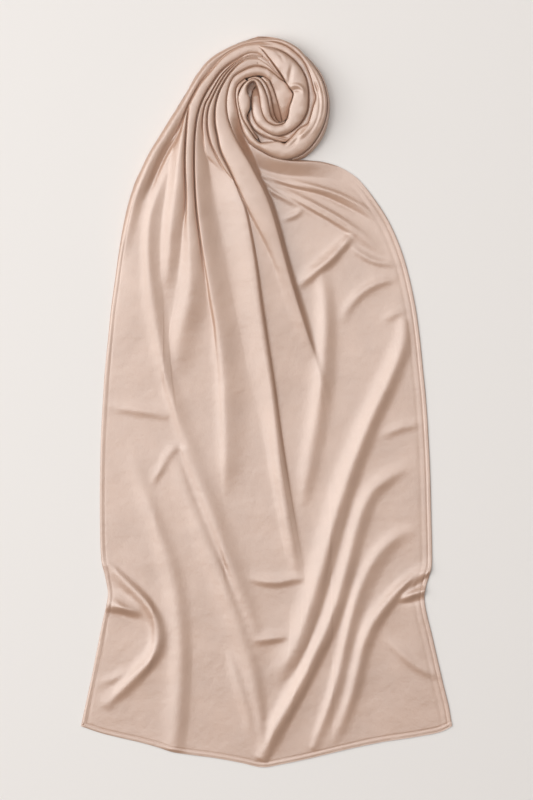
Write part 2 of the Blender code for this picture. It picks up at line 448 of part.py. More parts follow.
def ridge_height(points, ridge):
    """A fold's height over the cloth that it lies on, in millimetres, at each point."""
    lit_line, shade_line = even(ridge.lit_foot, 6), even(ridge.shade_foot, 6)
    height = np.zeros(len(points))
    inside = near_box(points, (lit_line, shade_line), SOFT_SPREAD * MM)
    if not len(inside):
        return height
    lit_dist, lit_side, lit_along, lit_past = nearest(points[inside], lit_line)
    shade_dist, shade_side, shade_along, shade_past = nearest(points[inside], shade_line)
    from_lit, from_shade = lit_dist * lit_side, -shade_dist * shade_side
    width = np.maximum(from_lit + from_shade, 1e-6)
    across = np.clip(from_lit / width, 0, 1)
    along = (1 - across) * lit_along + across * shade_along
    lit_power, shade_power = along_fold(along, ridge.lit_power), along_fold(along, ridge.shade_power)
    middle = width * along_fold(along, ridge.crest)
    lit_width = middle + (ROLL_EDGE + (SOFT_SPREAD - ROLL_EDGE) * softness(lit_power)) * MM
    shade_width = width - middle + (ROLL_EDGE + (SOFT_SPREAD - ROLL_EDGE) * softness(shade_power)) * MM
    lit = from_lit < middle
    t = np.where(lit, (middle - from_lit) / lit_width, (from_lit - middle) / shade_width)
    form = side_form(t, np.where(lit, lit_power, shade_power))
    crest = along_fold(along, ridge.heights)
    within = (t < 1) & ((lit_side > 0) | (shade_side < 0)) & ~(lit_past & shade_past)
    height[inside] = np.where(within, crest * form, 0)
    return height


def wrinkle_height(points, wrinkle):
    """A wrinkle's height in millimetres at each point."""
    line = even(wrinkle.path, 6)
    height = np.zeros(len(points))
    inside = near_box(points, (line,), max(wrinkle.lit_width, wrinkle.shade_width) * MM)
    if not len(inside):
        return height
    dist, side, along, _ = nearest(points[inside], line)
    width = np.where(side < 0, wrinkle.lit_width, wrinkle.shade_width) * MM
    crest = wrinkle.height * np.sin(math.pi * np.clip(along, 0.03, 0.97)) ** WRINKLE_END
    height[inside] = crest * side_form(np.minimum(dist / width, 1), WRINKLE_POWER)
    return height


LAYERS_HEIGHT = 20.0  # the gathered layers' height beside the rosette
LAYERS_MIDDLE = (272, 100)
LAYERS_NEAR, LAYERS_FAR = 50.0, 330.0  # they thin out between these distances from the middle
LAYERS_LEFT, LAYERS_RIGHT = 0.8, 1.2  # and so much sooner to the left and the right
LEFT_ROUND, LEFT_ROUND_GROWS = 4.5, 0.13  # their left side's round edge, and how fast it widens
LEFT_FULL = 0.3  # how full that edge is: the lower this power, the steeper its foot
RIGHT_ROUND = 45.0  # their right side slopes down over this distance
# Right of the long crease they drop over the first distance at the shoulder, and the second below it
CREASE_DROP = (16.0, 6.0)
CREASE_DROP_FROM, CREASE_DROP_TO = 150.0, 185.0  # heights in the plan
CREASE_DROP_EARLY = 3.0  # the drop starts so far left of the crease


def layers_height(points):
    """How high the hidden layers hold up the cloth, in millimetres, at each point."""
    across, down = ((points - place(LAYERS_MIDDLE)) / UNIT).T
    away = np.hypot(np.where(across > 0, LAYERS_RIGHT, LAYERS_LEFT) * across, down)
    left = nearest(points, even(LEFT_EDGE, 8))[0] / UNIT
    right = nearest(points, even(RIGHT_EDGE, 8))[0] / UNIT
    left_width = LEFT_ROUND + LEFT_ROUND_GROWS * np.maximum(away - LAYERS_NEAR, 0)
    rounded = (1 - (1 - np.clip(left / left_width, 0, 1)) ** 2) ** LEFT_FULL
    sloped = smooth(right / RIGHT_ROUND)
    dist, side, _, _ = nearest(points, even(CREASE_INNER_TURN, 8))
    lower = smooth((MIDDLE_Y - points[:, 1] / UNIT - CREASE_DROP_FROM) / (CREASE_DROP_TO - CREASE_DROP_FROM))
    drop = CREASE_DROP[0] * (1 - lower) + CREASE_DROP[1] * lower
    sloped *= 1 - smooth((dist * side / UNIT + CREASE_DROP_EARLY) / drop)
    return LAYERS_HEIGHT * (1 - smooth((away - LAYERS_NEAR) / (LAYERS_FAR - LAYERS_NEAR))) * rounded * sloped


def cloth_height(points):
    """How far the cloth's underside stands off the floor, in metres, at each point of the plan."""
    total = np.zeros(len(points))
    for ridge in RIDGES:
        total += ridge_height(points, ridge) ** FOLD_MERGE
    for wrinkle in WRINKLES:
        total += wrinkle_height(points, wrinkle) ** FOLD_MERGE
    return (layers_height(points) + total ** (1 / FOLD_MERGE)) * MM


def fold_lines(step):
    """The feet, crest and shoulders of every fold that is drawn into the mesh, as lines in metres."""
    lines = []
    for ridge in RIDGES:
        lit, shade = even(ridge.lit_foot, 4), even(ridge.shade_foot, 4)
        length = np.linalg.norm(np.diff(lit, axis=0), axis=1).sum()
        count = max(3, int(length / (step * MM)) + 1)
        at = np.linspace(0, 1, count)
        pair = [np.stack([np.interp(at, np.linspace(0, 1, len(f)), f[:, k]) for k in (0, 1)], -1)
                for f in (lit, shade)]
        crest = along_fold(at, ridge.crest)[:, None]
        shares = [0 * crest, crest, 0 * crest + 1]
        if ridge.lit_power[0] <= SHARP_SIDE:
            shares.append(SHOULDER * crest)
        if ridge.shade_power[0] <= SHARP_SIDE:
            shares.append(1 - SHOULDER * (1 - crest))
        lines += [pair[0] * (1 - share) + pair[1] * share for share in shares]
    for wrinkle in WRINKLES:
        if wrinkle.height >= TRACED_HEIGHT:
            line = even(wrinkle.path, step)
            lines.append(line)
            along = np.gradient(line, axis=0)
            along /= np.linalg.norm(along, axis=1)[:, None]
            right = np.stack([along[:, 1], -along[:, 0]], -1)
            lines.append(line + right * wrinkle.lit_width * WRINKLE_FOOT * MM)
            lines.append(line - right * wrinkle.shade_width * WRINKLE_FOOT * MM)
    return lines


def inset(outline, by):
    """A closed outline, anticlockwise, moved inwards by a distance in metres."""
    before, after = np.roll(outline, 1, 0), np.roll(outline, -1, 0)
    e1, e2 = outline - before, after - outline
    n1 = np.stack([-e1[:, 1], e1[:, 0]], -1) / np.linalg.norm(e1, axis=1)[:, None]
    n2 = np.stack([-e2[:, 1], e2[:, 0]], -1) / np.linalg.norm(e2, axis=1)[:, None]
    middle = n1 + n2
    middle /= np.maximum((middle**2).sum(1), 0.6)[:, None] / 2
    return outline + middle * by


def contains(outline, points):
    """Which points lie inside a closed outline."""
    x, y = points[:, 0][:, None], points[:, 1][:, None]
    a, b = outline, np.roll(outline, -1, 0)
    crosses = (a[:, 1] > y) != (b[:, 1] > y)
    rise = np.where(np.abs(b[:, 1] - a[:, 1]) < 1e-12, 1e-12, b[:, 1] - a[:, 1])
    return (crosses & (x < (b[:, 0] - a[:, 0]) * (y - a[:, 1]) / rise + a[:, 0])).sum(1) % 2 == 1


def crossed(a, b, others):
    """Whether the edge from a to b crosses any of the others, an array of point pairs."""
    if not len(others):
        return False

    def turn(p, q, r):
        u, v = q - p, r - p
        return u[..., 0] * v[..., 1] - u[..., 1] * v[..., 0]

    c, d = others[:, 0], others[:, 1]
    return bool(((turn(a, b, c) * turn(a, b, d) <= 0) & (turn(c, d, a) * turn(c, d, b) <= 0)).any())


def spread_points(outline, lines, fill):
    """Points inside the outline and the edges that join them along the lines: (points, edges).

    Points along the lines come first, then a filling grid, and none crowds another.
    """
    kept, edges, drawn = [], [], []
    ring = np.vstack([outline, np.roll(outline, -1, 0) * 0.5 + outline * 0.5])

    def add(point, apart):
        others = np.vstack([ring, kept]) if kept else ring
        if np.hypot(*(others - point).T).min() <= apart * MM:
            return None
        kept.append(point)
        return len(kept) - 1

    for line in lines:
        before = None
        for point, inside in zip(line, contains(outline, line)):
            index = add(point, NEAREST) if inside else None
            if index is not None and before is not None:
                others = np.array([d[:2] for d in drawn if before not in d[2:]])
                if not crossed(kept[before], point, others):
                    edges.append((before, index))
                    drawn.append((kept[before], point, before, index))
            before = index
    rows = np.arange(outline[:, 1].min(), outline[:, 1].max(), fill * MM * 0.87)
    grid = np.array([(x + (k % 2) * fill * MM / 2, y) for k, y in enumerate(rows)
                     for x in np.arange(outline[:, 0].min(), outline[:, 0].max(), fill * MM)])
    for point in grid[contains(outline, grid)]:
        add(point, fill * 0.55)
    return np.array(kept), edges


def sheet_faces(outline, points, edges):
    """The outline and points joined into triangles: (points, faces)."""
    every = np.vstack([outline, points])
    n = len(outline)
    joins = [(i, (i + 1) % n) for i in range(n)] + [(a + n, b + n) for a, b in edges]
    made = delaunay_2d_cdt([Vector(p) for p in every], joins, [list(range(n))], 1, 1e-7)
    flat = np.array([tuple(v) for v in made[0]])
    return flat, [tuple(f) for f in made[2]]


def add_object(name, shape, material):
    """A finished shape as a named object, smooth but for its creases."""
    mesh = bpy.data.meshes.new(name)
    shape.to_mesh(mesh)
    shape.free()
    mesh.materials.append(material)
    thing = bpy.data.objects.new(name, mesh)
    bpy.context.scene.collection.objects.link(thing)
    mesh.shade_smooth()
    mesh.set_sharp_from_angle(angle=math.radians(50))
    return thing


def wall_object(name, flat, faces, top, under, material):
    """A sheet of triangles given its upper and lower side, closed round its rim."""
    shape = bmesh.new()
    upper = [shape.verts.new((x, y, z)) for (x, y), z in zip(flat, top)]
    for face in faces:
        shape.faces.new([upper[i] for i in face])
    bmesh.ops.recalc_face_normals(shape, faces=shape.faces)
    if shape.faces[:][0].normal.z < 0:
        bmesh.ops.reverse_faces(shape, faces=shape.faces)
    lower = [shape.verts.new((x, y, z)) for (x, y), z in zip(flat, under)]
    pair = {v: w for v, w in zip(upper, lower)}
    rim = [e for e in shape.edges if e.is_boundary]
    for face in shape.faces[:]:
        shape.faces.new([pair[v] for v in reversed(face.verts)])
    for edge in rim:
        loop = edge.link_loops[0]
        a, b = loop.vert, loop.link_loop_next.vert
        shape.faces.new((b, a, pair[a], pair[b]))
    bmesh.ops.triangulate(shape, faces=[f for f in shape.faces if len(f.verts) > 3])
    return add_object(name, shape, material)


def cloth_sides(flat):
    """The upper and lower side of the laid cloth, which is thicker straight down where it is steep."""
    raised = cloth_height(flat)
    step = 0.5 * MM
    slope = np.hypot(*((cloth_height(flat + np.array(d)) - cloth_height(flat - np.array(d))) / (2 * step)
                       for d in ((step, 0), (0, step))))
    thick = np.minimum(CLOTH * np.sqrt(1 + slope**2), STEEP_CLOTH) * MM
    top = raised + CLOTH * MM
    return top, np.maximum(top - thick, 0)


def outline_of(parts, step):
    """A closed anticlockwise outline from runs of plan points, each smooth, joined at corners."""
    runs = [even(p, step)[:-1] for p in parts]
    ring = np.vstack(runs)
    area = (ring[:, 0] * np.roll(ring[:, 1], -1) - np.roll(ring[:, 0], -1) * ring[:, 1]).sum()
    return ring if area > 0 else ring[::-1]


def panel(material):
    """The stretch that lies flat, from the gathers to the hem: a wall that rises hollow into its folds."""
    left = [GATHER_SIDE[-1]] + [p for p in LEFT_EDGE if p[1] > GATHER_SIDE[-1][1]]
    crease = CREASE_INNER_TURN[CREASE_INNER_TURN.index((242, 149)):][:5]
    cut = [GATHER_CREASE[-1], GATHER_SIDE[-1]]
    ring = outline_of((left, HEM_EDGE, RIGHT_EDGE[::-1], SHOULDER_LINE[::-1], INNER_CUT[::-1], crease, cut),
                      OUTLINE_STEP)
    ring = inset(ring, SEAM_GAP * MM)
    flat, faces = sheet_faces(ring, *spread_points(ring, fold_lines(CREST_STEP), FILL_STEP))
    upper, lower = cloth_sides(flat)
    return wall_object("panel", flat, faces, upper, lower, material)


def crossing(start, end, line):
    """How far along the step from start to end a line crosses it, or None."""
    a, b = line[:-1], line[1:]
    d, e = end - start, b - a
    cross = d[0] * e[:, 1] - d[1] * e[:, 0]
    rel = a - start
    along = (rel[:, 0] * e[:, 1] - rel[:, 1] * e[:, 0]) / cross
    on_line = (rel[:, 0] * d[1] - rel[:, 1] * d[0]) / cross
    hits = along[(on_line >= -1e-6) & (on_line <= 1 + 1e-6) & (along >= 0) & (along <= 1)]
    return float(hits.min()) if len(hits) else None


def gather_rows(each):
    """The gathers' plan as rows of points from their outer side to their inner side, in metres."""
    at = np.linspace(0, len(GATHER_SIDE) - 1, each * (len(GATHER_SIDE) - 1) + 1)
    starts = place(spline(GATHER_SIDE, at))
    ends = place(spline(CREASE_INNER_TURN, at + CREASE_INNER_TURN.index(GATHER_CREASE[0])))
    ends[0, 0] = starts[0, 0]
    creases = [even(p.crease, 2) for p in PLEATS[1:]]
    rows = []
    for start, end in zip(starts, ends):
        length = np.linalg.norm(end - start)
        least = LEAST_COLUMN * MM / length
        end = end + (start - end) * SEAM_GAP * MM / length
        shares = [0.0]
        for crease in creases:
            found = crossing(start, end, crease)
            shares.append(max(shares[-1] + least, shares[-1] if found is None else found))
        shares.append(1.0)
        for k in range(len(shares) - 2, 0, -1):
            shares[k] = min(shares[k], shares[k + 1] - least)
        row = []
        for pleat, low, high in zip(PLEATS, shares, shares[1:]):
            row += [low] + [low + (high - low) * c for c in pleat.columns]
        row = np.array(row + [1.0])[:, None]
        rows.append(start * (1 - row) + end * row)
    return np.array(rows)


def gather(material):
    """The pleats that rise from the panel and run up round the rosette's left side, over hidden layers."""
    rows = gather_rows(SECTIONS)
    count, across = rows.shape[:2]
    flat = rows.reshape(-1, 2)
    top = cloth_height(flat) + CLOTH * MM
    shape = bmesh.new()
    upper = [shape.verts.new((x, y, z)) for (x, y), z in zip(flat, top)]
    for i in range(count - 1):
        for j in range(across - 1):
            k = i * across + j
            shape.faces.new((upper[k], upper[k + 1], upper[k + 1 + across], upper[k + across]))
    ring = [upper[j] for j in range(across)]
    ring += [upper[i * across + across - 1] for i in range(1, count)]
    ring += [upper[(count - 1) * across + j] for j in range(across - 2, -1, -1)]
    ring += [upper[i * across] for i in range(count - 2, 0, -1)]
    lower = [shape.verts.new((v.co.x, v.co.y, 0)) for v in ring]
    for k in range(len(ring)):
        m = (k + 1) % len(ring)
        shape.faces.new((ring[m], ring[k], lower[k], lower[m]))
    shape.faces.new(lower)
    bmesh.ops.triangulate(shape, faces=shape.faces)
    bmesh.ops.recalc_face_normals(shape, faces=shape.faces)
    return add_object("gather", shape, material)


def band_section(band, at, across):
    """Points of a wound stretch: at is counted in the band's places, across runs from outer to inner."""
    outer, inner = place(spline(band.outer, at)), place(spline(band.inner, at))
    crest = np.interp(at, np.arange(len(band.heights)), band.heights)
    width = np.linalg.norm(inner - outer, axis=1)
    ease = np.minimum(SEAM_GAP * MM / np.maximum(width, 1e-6), 0.3)
    share = ease[:, None] + (1 - 2 * ease[:, None]) * np.asarray(across)[None]
    flat = outer[:, None] * (1 - share[..., None]) + inner[:, None] * share[..., None]
    across = np.asarray(across)[None]
    t = np.where(across < band.crest, (band.crest - across) / band.crest,
                 (across - band.crest) / (1 - band.crest))
    drop = np.where(across < band.crest, band.outer_drop, band.inner_drop)
    z = crest[:, None] - drop * (1 - side_form(t, band.power))
    return np.dstack([flat, np.maximum(z, LEAST_HEIGHT) * MM])


def wound(band, material):
    """A wound stretch over its hidden layers: sections joined along it, standing flat on the floor."""
    count = SECTIONS * (len(band.outer) - 1) + 1
    rows = band_section(band, np.linspace(0, len(band.outer) - 1, count), ACROSS)
    shape = bmesh.new()
    loops = []
    for row in rows:
        foot_out, foot_in = (row[0][0], row[0][1], 0), (row[-1][0], row[-1][1], 0)
        loops.append([shape.verts.new(p) for p in [foot_out, *map(tuple, row), foot_in]])
    for a, b in zip(loops, loops[1:]):
        for k in range(len(a)):
            m = (k + 1) % len(a)
            shape.faces.new((a[k], a[m], b[m], b[k]))
    shape.faces.new(loops[0][::-1])
    shape.faces.new(loops[-1])
    bmesh.ops.triangulate(shape, faces=shape.faces)
    bmesh.ops.recalc_face_normals(shape, faces=shape.faces)
    return add_object(band.name, shape, material)


def jersey():
    material = bpy.data.materials.new("jersey")
    material.use_nodes = True
    surface = material.node_tree.nodes["Principled BSDF"]
    surface.inputs["Base Color"].default_value = BEIGE
    surface.inputs["Roughness"].default_value = 0.55
    surface.inputs["Metallic"].default_value = 0.0
    return material


def main():
    for thing in list(bpy.data.objects):
        bpy.data.objects.remove(thing)
    cloth = jersey()
    panel(cloth)
    gather(cloth)
    for band in BANDS:
        wound(band, cloth)


main()
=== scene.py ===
"""The looks of a jersey hijab laid out flat, its upper end gathered and wound into a rosette.

Plan places are in plan units of 1.8 mm, x to the right and y down. Heights and widths are in millimetres.
"""

import math
from collections import namedtuple

import bmesh
import bpy
import numpy as np
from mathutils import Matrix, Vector, noise
from mathutils.bvhtree import BVHTree


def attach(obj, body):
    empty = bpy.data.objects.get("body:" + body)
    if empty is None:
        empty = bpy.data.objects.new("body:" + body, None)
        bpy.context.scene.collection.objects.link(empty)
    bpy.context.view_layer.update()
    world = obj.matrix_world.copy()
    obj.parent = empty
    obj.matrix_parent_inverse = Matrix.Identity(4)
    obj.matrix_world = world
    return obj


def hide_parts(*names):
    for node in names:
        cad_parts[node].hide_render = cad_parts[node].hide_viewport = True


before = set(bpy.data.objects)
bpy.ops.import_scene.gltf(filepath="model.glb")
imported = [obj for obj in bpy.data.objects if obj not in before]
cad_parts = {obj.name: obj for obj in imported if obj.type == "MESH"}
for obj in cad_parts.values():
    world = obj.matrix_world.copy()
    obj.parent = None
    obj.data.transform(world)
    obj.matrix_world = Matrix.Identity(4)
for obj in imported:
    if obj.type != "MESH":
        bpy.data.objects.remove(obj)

# Driving sizes, as in the frame
UNIT = 0.0018  # one plan unit in metres
MIDDLE_X, MIDDLE_Y = 266.5, 402.0  # the plan's middle, in plan units
MM = 0.001
TINY = 1e-6  # lengths and shares under this count as none
FLOOR_GAP = 0.2  # the cloth's feet stay this far over the floor, in millimetres
CLOTH = 1.6  # how far the cloth's upper side lies over its underside
FOLD_MERGE = 4.0  # how sharply neighbouring folds meet: the power of the norm that joins them
LEAST_HEIGHT = 0.6  # no wound stretch's side drops lower than this

# The outline of the laid cloth, from the rosette's top down each side, and along the hem
LEFT_EDGE = [
    (262, 37.4), (240, 43.3), (222, 51.5), (209, 60), (199, 72), (190, 87), (181, 103), (170, 119),
    (160, 136), (150, 152), (139, 175), (131, 195), (125, 218), (120, 245), (115, 280), (111, 310),
    (108, 340), (105, 370), (103, 400), (101, 440), (100, 500), (101, 555), (105, 575), (108, 592),
    (107, 603), (103, 620), (98, 645), (91, 680), (81, 726),
]
HEM_EDGE = [
    (81, 726), (100, 732.5), (120, 737.5), (140, 742), (158, 747), (172, 751.5), (188, 754), (215, 757.5),
    (240, 762), (262, 766.6), (282, 763.5), (310, 757.5), (345, 749), (380, 741.5), (415, 736),
    (440, 731), (452, 725),
]
RIGHT_EDGE = [
    (300, 160.8), (320, 161.5), (338, 166.5), (350, 173), (358, 179), (366, 188), (375, 200), (385, 215),
    (393, 230), (400, 247), (406, 265), (411, 285), (416, 310), (420, 340), (423, 370), (426, 400),
    (428, 430), (430, 470), (431.3, 520), (432, 560), (429.5, 575), (425.5, 588), (424.5, 600),
    (427, 615), (432, 635), (437, 657), (443, 683), (448.5, 705), (452, 725),
]

# Creases that neighbouring folds and stretches share, each from its upper or outer end
CREASE_ROLL = [  # between the rolled left edge and the pleats
    (258.2, 44.6), (248, 45.4), (238, 48.6), (227, 55), (217, 64.5), (208, 75), (200, 84.5), (193, 97),
    (188, 107), (178, 130), (168, 146), (160, 160), (148, 185), (141, 203), (135, 228), (128, 262),
]
CREASE_PLEAT_1 = [
    (188.5, 108), (185.5, 115), (182, 126), (178, 140), (174, 155), (170, 172), (167, 190), (164, 215),
    (161, 245), (160, 270), (162, 290),
]
CREASE_PLEAT_2 = [
    (188.8, 109), (187.3, 120), (186.2, 133), (185.4, 147), (185, 160), (185.3, 175), (186, 190),
    (186, 203), (184.8, 222), (182.5, 245), (179, 275), (174, 307), (169, 338), (172, 378),
]
CREASE_PLEAT_3 = [  # the deep crease
    (258.2, 54.6), (250, 54.2), (243, 57), (235, 61.5), (226, 67.5), (219, 74.5), (213, 83), (206, 94),
    (200.5, 106), (197, 119), (195.2, 133), (194.5, 147), (194.3, 163), (194.6, 180), (195.5, 198),
    (197.5, 220), (202.3, 255), (208.2, 292), (213.8, 328), (218, 370), (220.5, 415), (221, 455),
    (222, 497),
]
CREASE_PLEAT_4 = [
    (258.2, 56), (250, 55.8), (243, 58.7), (237, 62.5), (230, 68), (222, 76), (215, 87), (209.5, 97.5),
    (205.5, 105), (203.3, 115), (202.5, 126), (203.5, 140), (206, 155), (208, 175), (210, 198),
    (215, 222), (222, 257), (231, 294), (240, 332), (249, 372), (257, 405), (264, 440), (270, 478),
    (277, 515), (284, 550), (291, 582),
]
CREASE_PLEAT_5 = [
    (258.2, 57.8), (250, 57.6), (243, 60.3), (237, 64.5), (231, 69.5), (225, 76.5), (218, 88),
    (212.3, 99.5), (209, 108), (207.4, 118), (207.7, 130), (210.5, 143), (215, 153.5), (220, 163),
    (225, 171.5), (232, 180),
]
CREASE_BAND = [
    (258.2, 59.6), (250, 59.5), (243, 62), (237, 66.5), (231, 73), (226, 80), (220, 91), (216.5, 101),
    (214.8, 112), (215, 125), (217.2, 137), (219.8, 150), (224, 160), (230, 172), (236, 185),
    (242, 198.5), (247, 212), (253, 240), (258, 270), (262, 300), (268, 340), (274.5, 382), (280, 422),
    (286, 464), (293, 508), (300, 548), (306, 582),
]
CREASE_INNER_TURN = [  # between the pleats and the inner turn, then the panel's long right crease
    (284.4, 84.4), (279.5, 79.6), (274.5, 75), (270, 71.7), (266, 69.3), (258.2, 67.5), (252, 68.3),
    (244, 71.5), (234, 78), (229, 89), (226.8, 103), (228, 117), (231, 126.5), (235.5, 137), (242, 149),
    (250, 162), (257, 175), (264, 188), (270.4, 203), (278, 227), (284.5, 251), (291, 275), (298.5, 300),
    (306.5, 326), (316, 356),
]
CREASE_OUTER = [  # the wide turn's outer side
    (258.4, 37.6), (268, 37.7), (279, 39.6), (289, 43.4), (298.5, 49.3), (306, 57.5), (313, 66),
    (319, 74.8), (323.8, 85.5), (326.5, 97), (327, 108), (325.6, 118.5), (321.8, 129.5), (316.5, 139),
    (309, 148.5), (300.5, 155), (291, 158.9), (281, 159.2), (272, 156.4), (263, 151.8), (254.5, 146.8),
    (248.5, 141.6), (243.5, 133), (240.3, 123), (238.2, 114), (236, 102.5), (235.6, 92.5), (238, 85.6),
    (244.6, 80),
]
CREASE_INNER = [  # the wide turn's inner side
    (258.4, 42.4), (267, 42.4), (276.5, 43.6), (286, 47), (295, 53.3), (302.5, 61), (308, 71),
    (311.5, 80.5), (314, 91), (316, 98.5), (312.9, 109), (310.5, 118), (307.5, 125), (300, 129),
    (293.5, 136), (288, 141.6), (284.3, 144.3), (278, 142.2), (269, 143), (261, 143.6), (256.2, 140.6),
    (252.2, 135), (247.6, 128), (243, 120), (239.6, 109.5), (238.2, 99), (239.5, 91.5), (243, 85.5),
    (247, 82),
]
CREASE_NARROW = [  # the narrow turn's outer side once it leaves the wide turn
    (285.5, 142.6), (278, 141.7), (270.5, 139.1), (262.5, 135.8), (254.8, 130.7), (249.6, 123.2),
    (247.6, 115.5),
]
CREASE_FLAP = [  # the flap's outer side
    (258.4, 46.4), (268, 47.9), (278, 51), (286.5, 55.6), (293.5, 61.3), (299.5, 68), (304, 75.5),
    (306.8, 84), (308, 93), (308, 101.5), (307.5, 109.5), (305.3, 116), (301.5, 122.5), (296, 128.4),
    (289.5, 132.9), (283.5, 135.5), (277, 136.6), (270, 134.6), (262.7, 129.9), (256.5, 124),
    (253, 116.5), (252, 109.5), (251.5, 103), (251.9, 97), (252.8, 91.5), (254.8, 88.3),
]
FLAP_EDGE = [  # the flap's folded edge, which crosses the pleats and then lines the heart
    (258.6, 47.4), (264, 52.8), (268.5, 58.3), (273, 64), (277.5, 70), (281.8, 76), (285, 81.5),
    (288.5, 87.3), (293.4, 94), (292, 101.5), (289.8, 107.5), (289, 113), (288, 118), (285.8, 122.5),
    (283, 125), (279.5, 126), (275.5, 126.4), (271, 125.2), (267, 122.5), (263.6, 117.5), (261.6, 112),
    (260.7, 107), (260.1, 102.5), (259.3, 97), (258.2, 91.5), (256.8, 87),
]
CREASE_LOOP = [  # the outer side of the heart's hairpin loop
    (256.2, 140.6), (252.2, 135), (247.6, 128), (243, 120), (239.6, 109.5), (238.2, 99), (240.4, 91.5),
    (243.5, 86.2), (247.5, 82.2), (252, 80), (256.5, 80.7), (260.3, 84), (263.6, 89.5), (266.2, 96),
    (268, 103), (269.2, 110), (270.7, 116.5), (273.6, 121), (277.5, 123.4), (281.5, 123.6),
    (285.2, 121.5),
]
CREASE_HEART_1 = [
    (247.8, 79.5), (252, 78.2), (257, 77.6), (261.8, 80), (266, 85.2), (268.9, 91.5), (270.8, 98.5),
    (272, 105), (273, 111), (274.4, 116.2), (276.6, 120.4), (279, 122.4),
]
CREASE_HEART_2 = [
    (257.8, 76.6), (264, 77.8), (268.2, 80.4), (269.8, 82.8), (271.2, 85.8), (273.6, 91.4), (275.8, 98),
    (277.8, 104.4), (279.5, 110.5), (280.9, 115.8), (281.8, 119.5), (282.2, 122.6),
]

